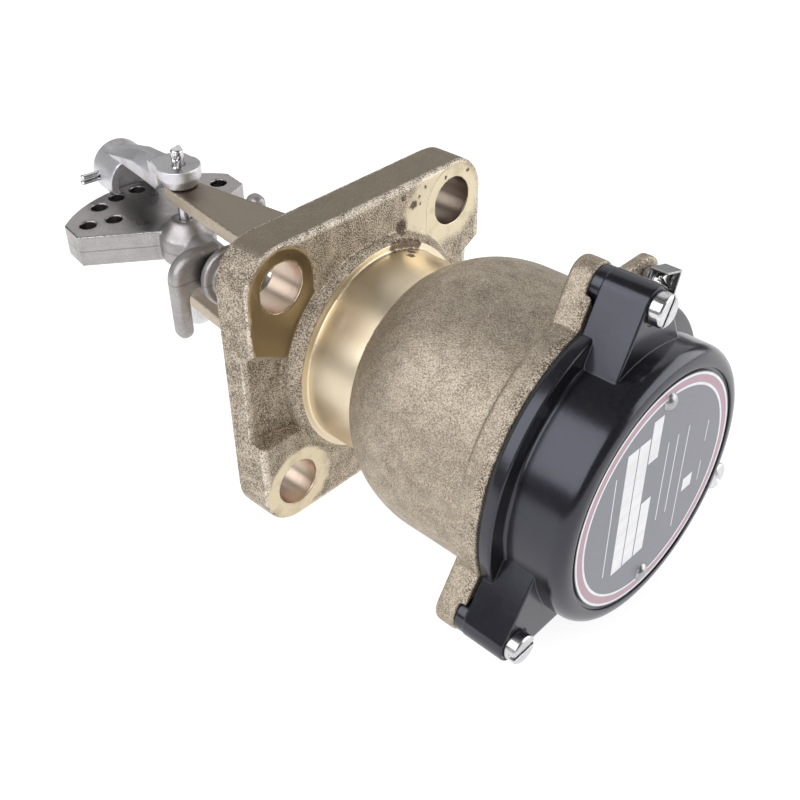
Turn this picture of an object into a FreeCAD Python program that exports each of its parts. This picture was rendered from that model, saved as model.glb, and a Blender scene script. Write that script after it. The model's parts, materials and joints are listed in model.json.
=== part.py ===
import FreeCAD, Part
import math
import os

# Flange mounted liquid level switch, millimetres.
# The origin is the centre of the mounting face of the square flange.
# +X runs along the main axis to the cover, +Z is up along the pivot pin.

V = FreeCAD.Vector
X_AXIS = V(1, 0, 0)
Z_AXIS = V(0, 0, 1)

# Square flange
FLANGE_SIDE = 92.0
FLANGE_THK = 12.7
FLANGE_CORNER = 12.0
FLANGE_EDGE = 1.8
BOLT_SPACING = 67.0
BOLT_HOLE = 14.5
SPOT_R = 11.6
SPOT_DEPTH = 0.7
SPOT_LOW_DEPTH = 0.3
RECESS_DEPTH = 5.5
RECESS_RISE = 0.17
RECESS_HALF = 14.1
RECESS_LOW = 14.0
RECESS_FLARE = 4.1
RECESS_LOW_FLARE = 0.9
RECESS_TILT = 0.5

# Turned neck and cast bowl
COLLAR_R = 34.4
COLLAR_LIP_R = 32.2
COLLAR_END = 15.7
NECK_R = 30.3
NECK_END = 32.8
BOWL_R = 40.0
BOWL_CORNER_X = 43.0
BOWL_ROUND = 33.0
BOWL_WALL = 4.0
POCKET_FLOOR_X = 24.0
END_WALL_THK = 4.0
NECK_WALL = 5.0

# Ring that takes the cover
RING_R = 44.0
RING_X0 = 81.5
RING_X1 = 88.8
LUG_COUNT = 3
LUG_PITCH = 50.6
LUG_TIP_R = 5.4
LUG_FLARE_DEG = 27.0
LUG_FOOT_R = 4.9
LUG_SPOT_R = 6.0
LUG_SPOT_DEPTH = 2.0
LUG_BASE_R = 35.0
LUG_BACK = 1.0
LUG_EDGE = 1.4

# Wet pocket that the magnet end swings in
POCKET_SIDE_GAP = 1.6
POCKET_END_GAP = 4.0
POCKET_HALF_Z = 16.0

# Clevis and pivot on the wet side
CLEVIS_TOP = 21.5
CLEVIS_THK = 4.6
CLEVIS_END = 5.6
CLEVIS_END_HALF = 4.4
CLEVIS_ROOT_HALF = 15.0
PIN_R = 2.1
PIN_TOP = 34.2
PIN_HEAD_R = 4.4
PIN_HEAD_LEN = 9.5
COTTER_HOLE_R = 1.0
COTTER_RISE = 2.6
COTTER_TURN_DEG = -134.0
COTTER_TAIL = 3.4
COTTER_SLACK = 0.6

# Clearances
FIT = 0.05
RUN = 0.30

# Magnet arm and its sector plate
SWING_DEG = 9.0
HUB_R = 9.6
HUB_SHOULDER = 4.0
HUB_TOP = 9.6
HUB_TOP_R = 4.8
HUB_ROUND = 2.0
SECTOR_R = 42.6
SECTOR_HALF_DEG = 49.3
SECTOR_SIDE_DEG = 62.2
SECTOR_SIDE_R = 36.6
SECTOR_HALF_THK = 5.5
STOP_HOLE_R = 2.9
STOP_ROW_R = 37.1
STOP_ROW_STEP_DEG = 13.5
STOP_END_R = 34.6
STOP_END_DEG = 47.8
STOP_INNER_R = 27.3
STOP_INNER_DEG = 37.6
SHAFT_R = 6.4
HORN_X0 = 17.8
HORN_X1 = 23.8
HORN_IN = 12.9
HORN_OUT = 18.6
HORN_TIP = 21.0
HORN_SHOULDER = 9.2
HORN_ROUND = 9.5
HORN_EDGE = 2.1
WAIST_R = 5.2
DISC_X0 = 26.4
DISC_X1 = 29.6
DISC_R = 10.6
DISC_EDGE = 0.7
TUBE_R = 7.2
ARM_LEN = 97.0
MAGNET_R = 5.0
MAGNET_LEN = 12.0
PIVOT_X = POCKET_FLOOR_X - POCKET_END_GAP - ARM_LEN

# Float lever
BOSS_R = 7.3
BOSS_THK = 7.0
BOSS_FOOT_R = 5.5
BOSS_EDGE = 3.6
BOSS_REACH = 9.6
ARM_HALF = 5.6
ARM_Z0 = 18.2
ARM_Z1 = 23.0
LEG_R0 = 6.6
LEG_R1 = 12.0
RIDGE_HALF = 1.6
NECK_AT_R = 24.0
NECK_Z = 26.2
ARM_END_HALF = 6.0
SOCKET_R = 9.9
SOCKET_Z = 10.4
SOCKET_GAP = 0.5
SOCKET_LEN = 8.1
SOCKET_BORE_R = 6.5
SOCKET_EDGE = 0.8
SOCKET_FLOOR = 1.0
SOCKET_ARCH = 9.7
ARCH_FOOT = 6.6
ARCH_GAP = 0.7
ROD_COTTER_IN = 4.8
ROD_COTTER_HOLE_R = 1.3
ROD_COTTER_TAIL = 6.2
SOCKET_R0 = SECTOR_R + SOCKET_GAP
SOCKET_R1 = SOCKET_R0 + SOCKET_LEN

# Cover
GASKET_THK = 0.8
GASKET_R = 43.2
GASKET_IN_R = 38.2
BASE_R = 43.8
BASE_THK = 3.4
DRUM_R = 38.4
COVER_FRONT = 109.6
COVER_ROUND = 4.0
COVER_LUG_EDGE = 0.8
COVER_WALL = 2.5
COVER_LUG_TIP_R = 5.1
COVER_LUG_END = 102.2
LABEL_R = 32.7
LABEL_THK = 0.5
LABEL_SINK = 0.75
LABEL_GAP = 0.85
RIVET_AT = 28.0
RIVET_R = 2.4
RIVET_SHANK_R = 1.1
RIVET_RISE = 1.5
SCREW_R = 2.4
SCREW_HEAD_R = 4.1
SCREW_HEAD_H = 3.7
SCREW_SINK = 0.5
SCREW_SEAT_GAP = 0.6
SCREW_FLOOR = 1.9
SCREW_TIP_GAP = 0.8
SLOT_W = 1.2
SLOT_TURN_DEG = -28.0

# Earth terminal
EARTH_Y = 18.2
EARTH_Z = 44.8
EARTH_BOSS_R = 5.2
EARTH_FACE = 88.0
EARTH_BACK = 84.9
EARTH_SCREW_R = 1.7
EARTH_NUT_AF = 5.6
EARTH_NUT_H = 1.6
EARTH_WASHER_R = 2.8
EARTH_WASHER_H = 0.5
EARTH_HEAD_R = 2.7
EARTH_HEAD_H = 2.0
EARTH_SLOT_W = 1.0
EARTH_SLOT_TURN_DEG = 40.0
EARTH_SCREW_IN = 2.2
EARTH_FLOOR = 0.6
CLAMP_THK = 0.6
CLAMP_SIDE_GAP = 0.2
CLAMP_ROOF_GAP = 0.5
CLAMP_REACH = 4.8
CLAMP_DOWN = 2.6
CLAMP_WALL = 7.6
CLAMP_TILT_DEG = -17.0

# Cable entry on the far side
ENTRY_X = 66.0
ENTRY_FACE = 43.4
ENTRY_BOSS_R = 12.4
ENTRY_R = 10.0

# Switch mechanism inside the bowl
CAVITY_R = 36.2
CAVITY_X = 50.0
BASE_PLATE_X = 60.0
BASE_PLATE_THK = 4.0
BASE_PLATE_R = 35.6
BASE_PLATE_HALF_Y = 21.0
PILLAR_Z = 30.0
PILLAR_R = 5.0
PILLAR_X0 = 44.0
ROCKER_X = 50.0
ROCKER_PIN_R = 1.5
CHEEK_IN = 9.2
CHEEK_THK = 3.0
CHEEK_HALF = 6.0
WINDOW_Y = 8.0
ROCKER_HUB_R = 4.6
ROCKER_HALF_Y = 2.2
ROCKER_HALF_Z = 6.0
ROCKER_TAIL = 76.0
CARRIER_R = 6.4
CARRIER_X0 = 33.5
CARRIER_X1 = 43.0
CARRIER_FLOOR = 2.0
SWITCH_MAGNET_R = 4.6
SWITCH_MAGNET_X0 = 31.0
ROCKER_SWING_DEG = 7.0
BRIDGE_HALF_Z = 12.0
BRIDGE_THK = 1.0
BRIDGE_W = 4.0
STRIP_THK = 0.8
STRIP_W = 6.0
STRIP_Z = 8.0
BLOCK_HALF_Z = 15.0
BLOCK_DEPTH = 12.0
BLOCK_TOP = 82.0
TERMINAL_SCREW_R = 1.5
TERMINAL_HEAD_R = 2.9
TERMINAL_HEAD_H = 2.0
FIX_SCREW_R = 1.9
FIX_HEAD_R = 3.4
FIX_HEAD_H = 2.6
FIX_SCREW_LEN = 14.0
FIX_HOLE_FLOOR = 3.0
FIX_SLOT_W = 0.9
TERMINAL_SCREW_LEN = 8.0
TERMINAL_TIP_GAP = 1.0
TERMINAL_SLOT_W = 0.8
STRIP_LEAD = 4.0
BLOCK_WALL_H = 4.0
BLOCK_WALL_HALF = 1.0


# Shape helpers

def rounded_wire(corners, place):
    """Closed wire through (u, v, corner radius), set in space by place(u, v)."""
    count = len(corners)
    edges = []
    stops = []
    for i in range(count):
        u, v, r = corners[i]
        p = V(u, v, 0)
        a = V(corners[i - 1][0], corners[i - 1][1], 0) - p
        b = V(corners[(i + 1) % count][0], corners[(i + 1) % count][1], 0) - p
        if r <= 0:
            stops.append((p, None, p))
            continue
        a.normalize()
        b.normalize()
        half = a.getAngle(b) / 2.0
        mid = a + b
        mid.normalize()
        centre = p + mid * (r / math.sin(half))
        reach = r / math.tan(half)
        stops.append((p + a * reach, centre - mid * r, p + b * reach))
    for i in range(count):
        start, through, end = stops[i]
        if through is not None:
            arc = Part.Arc(place(start), place(through), place(end))
            edges.append(arc.toShape())
        ahead = stops[(i + 1) % count][0]
        if (ahead - end).Length > 1e-6:
            edges.append(Part.makeLine(place(end), place(ahead)))
    return Part.Wire(edges)


def prism_x(corners, x0, x1):
    """Outline in (y, z) pushed along X."""
    wire = rounded_wire(corners, lambda p: V(x0, p.x, p.y))
    return Part.Face(wire).extrude(V(x1 - x0, 0, 0))


def prism_y(corners, y0, y1):
    """Outline in (x, z) pushed along Y."""
    wire = rounded_wire(corners, lambda p: V(p.x, y0, p.y))
    return Part.Face(wire).extrude(V(0, y1 - y0, 0))


def prism_z(corners, z0, z1):
    """Outline in (x, y) pushed along Z."""
    wire = rounded_wire(corners, lambda p: V(p.x, p.y, z0))
    return Part.Face(wire).extrude(V(0, 0, z1 - z0))


def turned_x(corners):
    """Profile in (x, radius) turned about X."""
    wire = rounded_wire(corners, lambda p: V(p.x, p.y, 0))
    return Part.Face(wire).revolve(V(0, 0, 0), X_AXIS, 360)


def rod(r, start, end):
    return Part.makeCylinder(r, (end - start).Length, start, end - start)


def rod_x(r, x0, x1, y=0.0, z=0.0):
    return rod(r, V(x0, y, z), V(x1, y, z))


def rod_z(r, z0, z1, x=0.0, y=0.0):
    return rod(r, V(x, y, z0), V(x, y, z1))


def box(x0, x1, y0, y1, z0, z1):
    return Part.makeBox(x1 - x0, y1 - y0, z1 - z0, V(x0, y0, z0))


def spun(shape, degrees):
    """Copy turned about the main axis."""
    out = shape.copy()
    out.rotate(V(0, 0, 0), X_AXIS, degrees)
    return out


def swung(shape, degrees, x):
    """Copy turned about an upright axis at x."""
    out = shape.copy()
    out.rotate(V(x, 0, 0), Z_AXIS, degrees)
    return out


def join(shapes):
    out = shapes[0].fuse(shapes[1:])
    return out.removeSplitter()


def around(shape, count):
    return [spun(shape, i * 360.0 / count) for i in range(count)]


def corner_signs():
    return [(a, b) for a in (-1, 1) for b in (-1, 1)]


# Body casting

def recess(side):
    """Sunk field of the dry face beside the neck: its floor rises and its upper wall falls towards the neck."""
    reach = FLANGE_SIDE / 2.0
    wires = []
    for top in (False, True):
        ring = []
        for y, z in ((reach + 1.0, 1), (NECK_R * 0.7, 1), (NECK_R * 0.7, -1), (reach + 1.0, -1)):
            x = FLANGE_THK + 1.0 if top else FLANGE_THK - RECESS_DEPTH + RECESS_RISE * (reach - y)
            share = (x - FLANGE_THK + RECESS_DEPTH) / RECESS_DEPTH
            upper = RECESS_HALF - RECESS_TILT * (reach - y) + RECESS_FLARE * share
            ring.append(V(x, side * y, upper if z > 0 else -RECESS_LOW - RECESS_LOW_FLARE * share))
        wires.append(Part.makePolygon(ring + [ring[0]]))
    return Part.makeLoft(wires, True, True)


def flange_block():
    h = FLANGE_SIDE / 2.0
    outline = [(-h, -h, FLANGE_CORNER), (h, -h, FLANGE_CORNER), (h, h, FLANGE_CORNER), (-h, h, FLANGE_CORNER)]
    block = prism_x(outline, 0, FLANGE_THK)
    rim = [e for e in block.Edges if min(v.X for v in e.Vertexes) > FLANGE_THK - 1e-3]
    block = block.makeFillet(FLANGE_EDGE, rim)
    for side in (-1, 1):
        block = block.cut(recess(side))
    return block


def collar_and_neck():
    foot = FLANGE_THK - RECESS_DEPTH
    return turned_x([(0, 0, 0), (0, COLLAR_R, 0), (foot + 5.0, COLLAR_R, 0), (COLLAR_END - 1.6, COLLAR_R - 0.6, 1.0),
                     (COLLAR_END, COLLAR_LIP_R, 0), (COLLAR_END, NECK_R, 0), (NECK_END + 1.0, NECK_R, 0),
                     (NECK_END + 1.0, 0, 0)])


def bowl_and_ring():
    return turned_x([(NECK_END, 0, 0), (NECK_END, NECK_R + 0.6, 0), (BOWL_CORNER_X, BOWL_R, BOWL_ROUND),
                     (RING_X0 - 0.6, BOWL_R, 1.6), (RING_X0 + 0.4, RING_R, 1.4), (RING_X1, RING_R, 0),
                     (RING_X1, 0, 0)])


def lug_outline(tip_r):
    """Rounded triangle pointing up, with its tip circle on the screw pitch."""
    flare = math.radians(LUG_FLARE_DEG)
    apex = LUG_PITCH + tip_r / math.sin(flare)
    half = (apex - LUG_BASE_R) * math.tan(flare)
    return [(-half, LUG_BASE_R, 0), (half, LUG_BASE_R, 0), (0, apex, tip_r)]


def soften(shape, radius, chosen):
    return shape.makeFillet(radius, [e for e in shape.Edges if chosen(e)])


def ring_lug():
    back = RING_X0 - LUG_BACK
    lug = prism_x(lug_outline(LUG_TIP_R), back, RING_X1)

    def at_back(edge):
        return max(v.X for v in edge.Vertexes) < back + 1e-3 and edge.CenterOfMass.z > LUG_BASE_R + 1.0

    return soften(lug, LUG_EDGE, at_back)


def clevis_lug():
    end = PIVOT_X - CLEVIS_END
    half = CLEVIS_END_HALF
    outline = [(1.0, -CLEVIS_ROOT_HALF, 0), (1.0, CLEVIS_ROOT_HALF, 0), (end, half, half - 0.2), (end, -half, half - 0.2)]
    return prism_z(outline, CLEVIS_TOP - CLEVIS_THK, CLEVIS_TOP)


def wet_pocket():
    y = ARM_LEN * math.sin(math.radians(SWING_DEG)) + TUBE_R + POCKET_SIDE_GAP
    z = POCKET_HALF_Z
    r = z - 0.1
    return prism_x([(-y, -z, r), (y, -z, r), (y, z, r), (-y, z, r)], -1.0, POCKET_FLOOR_X)


def dry_cavity():
    start = POCKET_FLOOR_X + END_WALL_THK
    neck_in = NECK_R - NECK_WALL
    return turned_x([(start, 0, 0), (start, neck_in, 0), (NECK_END + 3.0, neck_in, 0), (CAVITY_X, CAVITY_R, 0),
                     (RING_X1 + 1.0, CAVITY_R, 0), (RING_X1 + 1.0, 0, 0)])


def earth_boss():
    boss = rod_x(EARTH_BOSS_R, EARTH_BACK, EARTH_FACE, EARTH_Y, EARTH_Z)
    web = box(EARTH_BACK, EARTH_FACE, 0, EARTH_Y, CAVITY_R + 2.0, EARTH_Z + EARTH_BOSS_R)
    return boss.fuse(web)


def bolt_holes():
    tools = []
    half = BOLT_SPACING / 2.0
    for a, b in corner_signs():
        y = a * half
        z = b * half
        tools.append(rod_x(BOLT_HOLE / 2.0, -1.0, FLANGE_THK + 1.0, y, z))
        floor = FLANGE_THK - (SPOT_DEPTH if b > 0 else SPOT_LOW_DEPTH)
        spot = rod_x(SPOT_R, floor, FLANGE_THK + 3.0, y, z)
        if b > 0:
            spot = spot.fuse(box(floor, FLANGE_THK + 3.0, y - SPOT_R, y + SPOT_R, 0, z))
        tools.append(spot.cut(rod_x(COLLAR_R + 0.4, 0, FLANGE_THK + 4.0)))
    return tools


def screw_hole_x():
    """Floor of the blind screw holes."""
    return RING_X0 - LUG_BACK + SCREW_FLOOR


def body_casting():
    clevis = clevis_lug()
    entry = rod(ENTRY_BOSS_R, V(ENTRY_X, CAVITY_R, 0), V(ENTRY_X, ENTRY_FACE, 0))
    solids = [flange_block(), collar_and_neck(), bowl_and_ring(), clevis, spun(clevis, 180), earth_boss(), entry]
    body = join(solids + around(ring_lug(), LUG_COUNT))
    body = body.cut(dry_cavity())
    pillars = []
    for side in (-1, 1):
        post = rod_x(PILLAR_R, PILLAR_X0, BASE_PLATE_X, 0, side * PILLAR_Z)
        web_z = sorted((side * PILLAR_Z, side * (CAVITY_R + 1.0)))
        pillars.append(post.fuse(box(PILLAR_X0, BASE_PLATE_X, -PILLAR_R, PILLAR_R, web_z[0], web_z[1])))
    body = join([body] + pillars)
    cuts = [wet_pocket(), rod_z(PIN_R + FIT, -CLEVIS_TOP - 1.0, CLEVIS_TOP + 1.0, PIVOT_X)]
    cuts += bolt_holes()
    cuts.append(rod(ENTRY_R, V(ENTRY_X, CAVITY_R - 8.0, 0), V(ENTRY_X, ENTRY_FACE + 1.0, 0)))
    hole = rod_x(SCREW_R + FIT, screw_hole_x(), RING_X1 + 1.0, 0, LUG_PITCH)
    spot = rod_x(LUG_SPOT_R, RING_X1 - LUG_SPOT_DEPTH, RING_X1 + 1.0, 0, LUG_PITCH)
    cuts += around(hole, LUG_COUNT)
    cuts += around(spot, LUG_COUNT)
    cuts.append(rod_x(EARTH_SCREW_R + FIT, EARTH_BACK + EARTH_FLOOR, RING_X1 + 1.0, EARTH_Y, EARTH_Z))
    cuts.append(rod_x(EARTH_NUT_AF / math.sqrt(3.0) + RUN, EARTH_FACE, RING_X1 + 1.0, EARTH_Y, EARTH_Z))
    for side in (-1, 1):
        cuts.append(rod_x(FIX_SCREW_R + FIT, PILLAR_X0 + FIX_HOLE_FLOOR, BASE_PLATE_X + 1.0, 0, side * PILLAR_Z))
    return body.cut(cuts).removeSplitter()


# Cover, label and fixings

def cover_back():
    return RING_X1 + GASKET_THK


def cover():
    back = cover_back()
    floor = COVER_FRONT - LABEL_SINK
    bed = LABEL_R + LABEL_GAP
    shell = turned_x([(back, 0, 0), (back, BASE_R, 0), (back + BASE_THK, BASE_R, 0.9),
                      (back + BASE_THK, DRUM_R, 0), (COVER_FRONT, DRUM_R, COVER_ROUND), (COVER_FRONT, bed, 0),
                      (floor, bed, 0), (floor, 0, 0)])
    lug = prism_x(lug_outline(COVER_LUG_TIP_R), back, COVER_LUG_END)

    def front_rim(edge):
        at_front = min(v.X for v in edge.Vertexes) > COVER_LUG_END - 1e-3
        return at_front and edge.CenterOfMass.z > LUG_BASE_R + 1.0

    lug = soften(lug, COVER_LUG_EDGE, front_rim)
    foot = rod_x(LUG_FOOT_R, RING_X1 - LUG_SPOT_DEPTH, back, 0, LUG_PITCH)
    body = join([shell] + around(lug, LUG_COUNT) + around(foot, LUG_COUNT))
    inside = turned_x([(back - 1.0, 0, 0), (back - 1.0, DRUM_R - COVER_WALL, 0),
                       (floor - COVER_WALL, DRUM_R - COVER_WALL, 0), (floor - COVER_WALL, 0, 0)])
    hole = rod_x(SCREW_R + RUN, RING_X1 - LUG_SPOT_DEPTH - 1.0, COVER_LUG_END + 1.0, 0, LUG_PITCH)
    seat = rod_x(SCREW_HEAD_R + SCREW_SEAT_GAP, COVER_LUG_END - SCREW_SINK, COVER_LUG_END + 1.0, 0, LUG_PITCH)
    cuts = [inside] + around(hole, LUG_COUNT) + around(seat, LUG_COUNT)
    cuts += [rod_x(RIVET_SHANK_R, floor - COVER_WALL - 1.0, floor + 1.0, 0, s * RIVET_AT) for s in (-1, 1)]
    return body.cut(cuts).removeSplitter()


def cover_gasket():
    ring = rod_x(GASKET_R, RING_X1, cover_back()).cut(rod_x(GASKET_IN_R, RING_X1 - 1.0, cover_back() + 1.0))
    clear = rod_x(LUG_SPOT_R + RUN, RING_X1 - 1.0, cover_back() + 1.0, 0, LUG_PITCH)
    return ring.cut(around(clear, LUG_COUNT))


def label_plate():
    floor = COVER_FRONT - LABEL_SINK
    plate = rod_x(LABEL_R, floor, floor + LABEL_THK)
    return plate.cut([rod_x(RIVET_SHANK_R, floor - 1.0, floor + 2.0, 0, s * RIVET_AT) for s in (-1, 1)])


def label_rivets():
    face = COVER_FRONT - LABEL_SINK + LABEL_THK
    ball = (RIVET_R ** 2 + RIVET_RISE ** 2) / (2.0 * RIVET_RISE)
    pair = []
    for s in (-1, 1):
        z = s * RIVET_AT
        dome = Part.makeSphere(ball, V(face + RIVET_RISE - ball, 0, z))
        dome = dome.common(box(face, face + RIVET_RISE + 1.0, -RIVET_R - 1, RIVET_R + 1, z - RIVET_R - 1, z + RIVET_R + 1))
        pair.append(dome.fuse(rod_x(RIVET_SHANK_R, face - LABEL_THK - COVER_WALL, face, 0, z)))
    return Part.makeCompound(pair)


def slotted_screw(shank_r, head_r, head_h, length, slot_w):
    """Screw along X with the underside of its head at x = 0."""
    bevel = head_r * 0.12
    head = turned_x([(0, 0, 0), (0, head_r, 0), (head_h - bevel, head_r, 0), (head_h, head_r - bevel, 0), (head_h, 0, 0)])
    body = head.fuse(rod_x(shank_r, -length, 0))
    return body.cut(box(head_h * 0.5, head_h + 1.0, -slot_w / 2.0, slot_w / 2.0, -head_r - 1, head_r + 1))


def cover_screws():
    screws = []
    under = COVER_LUG_END - SCREW_SINK
    length = under - screw_hole_x() - SCREW_TIP_GAP
    for i in range(LUG_COUNT):
        one = slotted_screw(SCREW_R, SCREW_HEAD_R, SCREW_HEAD_H, length, SLOT_W)
        one.rotate(V(0, 0, 0), X_AXIS, SLOT_TURN_DEG)
        one.translate(V(under, 0, LUG_PITCH))
        screws.append(spun(one, i * 360.0 / LUG_COUNT))
    return Part.makeCompound(screws)


# Earth terminal

def hexagon(across_flats):
    r = across_flats / math.sqrt(3.0)
    return [(r * math.cos(math.radians(60 * i)), r * math.sin(math.radians(60 * i)), 0) for i in range(6)]


def at_earth(shape, x):
    out = shape.copy()
    out.translate(V(x, EARTH_Y, EARTH_Z))
    return out


def earth_bore(h):
    return rod_x(EARTH_SCREW_R + FIT, -1.0, h + 1.0)


def earth_nut():
    nut = prism_x(hexagon(EARTH_NUT_AF), 0, EARTH_NUT_H).cut(earth_bore(EARTH_NUT_H))
    return at_earth(nut, EARTH_FACE)


def earth_washers():
    ring = rod_x(EARTH_WASHER_R, 0, EARTH_WASHER_H).cut(earth_bore(EARTH_WASHER_H))
    back = at_earth(ring, EARTH_FACE + EARTH_NUT_H)
    front = at_earth(ring, EARTH_FACE + EARTH_NUT_H + EARTH_WASHER_H + CLAMP_THK)
    return Part.makeCompound([back, front])


def earth_clamp():
    """Base with a roof over the screw head and a long wall on the +Y side, tilted about the screw."""
    t = CLAMP_THK
    half = EARTH_WASHER_R + CLAMP_SIDE_GAP + t
    up = EARTH_WASHER_R + CLAMP_ROOF_GAP + t
    base = box(0, t, -half, half, -CLAMP_DOWN, up).cut(earth_bore(t))
    roof = box(0, CLAMP_REACH, -half, half, up - t, up)
    side = box(0, CLAMP_REACH, half - t, half, up - CLAMP_WALL, up)
    clamp = spun(join([base, roof, side]), CLAMP_TILT_DEG)
    return at_earth(clamp, EARTH_FACE + EARTH_NUT_H + EARTH_WASHER_H)


def earth_screw():
    under = EARTH_NUT_H + 2 * EARTH_WASHER_H + CLAMP_THK
    screw = slotted_screw(EARTH_SCREW_R, EARTH_HEAD_R, EARTH_HEAD_H, under + EARTH_SCREW_IN, EARTH_SLOT_W)
    screw.rotate(V(0, 0, 0), X_AXIS, EARTH_SLOT_TURN_DEG)
    return at_earth(screw, EARTH_FACE + under)


# Pivot and split pins

def cotter_height():
    return CLEVIS_TOP + RUN + BOSS_THK + COTTER_RISE


def pivot_pin():
    head_top = -CLEVIS_TOP
    shank = rod_z(PIN_R, head_top, PIN_TOP, PIVOT_X)
    shank = shank.makeChamfer(0.5, [e for e in shank.Edges if min(v.Z for v in e.Vertexes) > PIN_TOP - 1e-3])
    head = rod_z(PIN_HEAD_R, head_top - PIN_HEAD_LEN, head_top, PIVOT_X)
    head = head.makeFillet(1.4, [e for e in head.Edges if max(v.Z for v in e.Vertexes) < head_top - PIN_HEAD_LEN + 1e-3])
    z = cotter_height()
    hole = rod(COTTER_HOLE_R + FIT, V(PIVOT_X, -PIN_R - 1.0, z), V(PIVOT_X, PIN_R + 1.0, z))
    return shank.fuse(head).cut(swung(hole, COTTER_TURN_DEG, PIVOT_X))


def split_pin(hole_r, grip, tail):
    """Split pin along +Y through the origin: eye on the -Y side, spread tails on the +Y side."""
    w = hole_r * 0.68
    eye = hole_r * 1.5
    band = w * 0.6
    centre = V(-w, -grip - eye - band, 0)
    ring = rod(eye + band, centre, centre + V(2 * w, 0, 0))
    ring = ring.cut(rod(eye - band, centre - V(1, 0, 0), centre + V(2 * w + 1, 0, 0)))
    wires = [ring, box(-w, w, -grip - band, grip, -w, w)]
    for s in (-1, 1):
        out = s * tail * 0.22
        wires.append(prism_x([(grip - 0.4, 0, 0), (grip + tail, out, 0), (grip + tail, out + s * w, 0), (grip - 0.4, s * w, 0)], -w, w))
    return join(wires)


def pivot_split_pin():
    pin = split_pin(COTTER_HOLE_R, PIN_R + COTTER_SLACK, COTTER_TAIL)
    pin.translate(V(PIVOT_X, 0, cotter_height()))
    return swung(pin, COTTER_TURN_DEG, PIVOT_X)


# Magnet arm

def polar(r, degrees):
    """Point of the sector plate, degrees from its middle line."""
    a = math.radians(degrees)
    return V(PIVOT_X - r * math.cos(a), r * math.sin(a), 0)


def sector_plate():
    z0 = V(0, 0, -SECTOR_HALF_THK)
    a0 = polar(SECTOR_R, -SECTOR_HALF_DEG) + z0
    a1 = polar(SECTOR_R, 0) + z0
    a2 = polar(SECTOR_R, SECTOR_HALF_DEG) + z0
    b0 = polar(SECTOR_SIDE_R, -SECTOR_SIDE_DEG) + z0
    b2 = polar(SECTOR_SIDE_R, SECTOR_SIDE_DEG) + z0
    heart = polar(-1.0, 0) + z0
    edges = [Part.Arc(a0, a1, a2).toShape(), Part.makeLine(a2, b2), Part.makeLine(b2, heart),
             Part.makeLine(heart, b0), Part.makeLine(b0, a0)]
    plate = Part.Face(Part.Wire(edges)).extrude(V(0, 0, 2 * SECTOR_HALF_THK))
    spots = [(STOP_ROW_R, STOP_ROW_STEP_DEG * i) for i in (-2, -1, 0, 1, 2)]
    for s in (-1, 1):
        spots.append((STOP_END_R, s * STOP_END_DEG))
        spots.append((STOP_INNER_R, s * STOP_INNER_DEG))
    holes = []
    for r, degrees in spots:
        p = polar(r, degrees)
        holes.append(rod_z(STOP_HOLE_R, -SECTOR_HALF_THK - 1, SECTOR_HALF_THK + 1, p.x, p.y))
    return plate.cut(holes)


def horn():
    """Stop horn reaching to the +Y side and up beside the upper clevis lug."""
    s = HORN_SHOULDER
    outline = [(0, -s, 0), (HORN_OUT, -s, HORN_ROUND), (HORN_OUT, HORN_TIP, 2.6), (HORN_IN, HORN_TIP, 2.6),
               (HORN_IN, s * 0.5, 2.5), (0, s * 0.5, 0)]
    bar = prism_x(outline, PIVOT_X + HORN_X0, PIVOT_X + HORN_X1)

    def long_edge(edge):
        across = max(v.X for v in edge.Vertexes) - min(v.X for v in edge.Vertexes)
        return across < 1e-3 and edge.CenterOfMass.z > -s + 1e-3 and edge.CenterOfMass.y > HORN_IN - 1e-3

    return soften(bar, HORN_EDGE, long_edge)


def arm_shaft():
    p = PIVOT_X
    return turned_x([(p, 0, 0), (p, SHAFT_R, 0), (p + HORN_X1 + 0.5, SHAFT_R, 0), (p + HORN_X1 + 1.5, WAIST_R, 0),
                     (p + DISC_X0, WAIST_R, 0), (p + DISC_X0, DISC_R, DISC_EDGE), (p + DISC_X1, DISC_R, DISC_EDGE),
                     (p + DISC_X1, TUBE_R, 0), (p + ARM_LEN, TUBE_R, 0), (p + ARM_LEN, 0, 0)])


def arm_hub():
    """Boss around the pivot pin, narrowing towards both clevis lugs."""
    cone = Part.makeCone(HUB_R, HUB_TOP_R, HUB_TOP - HUB_SHOULDER, V(PIVOT_X, 0, HUB_SHOULDER), Z_AXIS)
    hub = join([rod_z(HUB_R, -HUB_SHOULDER, HUB_SHOULDER, PIVOT_X), cone, spun(cone, 180)])
    return hub.makeFillet(HUB_ROUND, [e for e in hub.Edges if len(e.Vertexes) == 1])


def magnet_arm():
    up = horn()
    arm = join([arm_hub(), sector_plate(), arm_shaft(), up, spun(up, 180)])
    end = PIVOT_X + ARM_LEN
    bore = HUB_TOP + 1.0
    cuts = [rod_z(PIN_R + FIT, -bore, bore, PIVOT_X), rod_x(MAGNET_R, end - MAGNET_LEN, end + 1.0)]
    return swung(arm.cut(cuts), -SWING_DEG, PIVOT_X)


def float_magnet():
    end = PIVOT_X + ARM_LEN
    bar = rod_x(MAGNET_R, end - MAGNET_LEN, end)
    return swung(bar, -SWING_DEG, PIVOT_X)


# Float lever

def arm_section(r, half, low, edge, ridge):
    """Roof shaped section of the lever arm at radius r: side walls up to edge, then slopes to the ridge."""
    x = PIVOT_X - r
    ring = [V(x, -half, low), V(x, half, low), V(x, half, edge), V(x, RIDGE_HALF, ridge), V(x, -RIDGE_HALF, ridge),
            V(x, -half, edge)]
    return Part.makePolygon(ring + [ring[0]])


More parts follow.
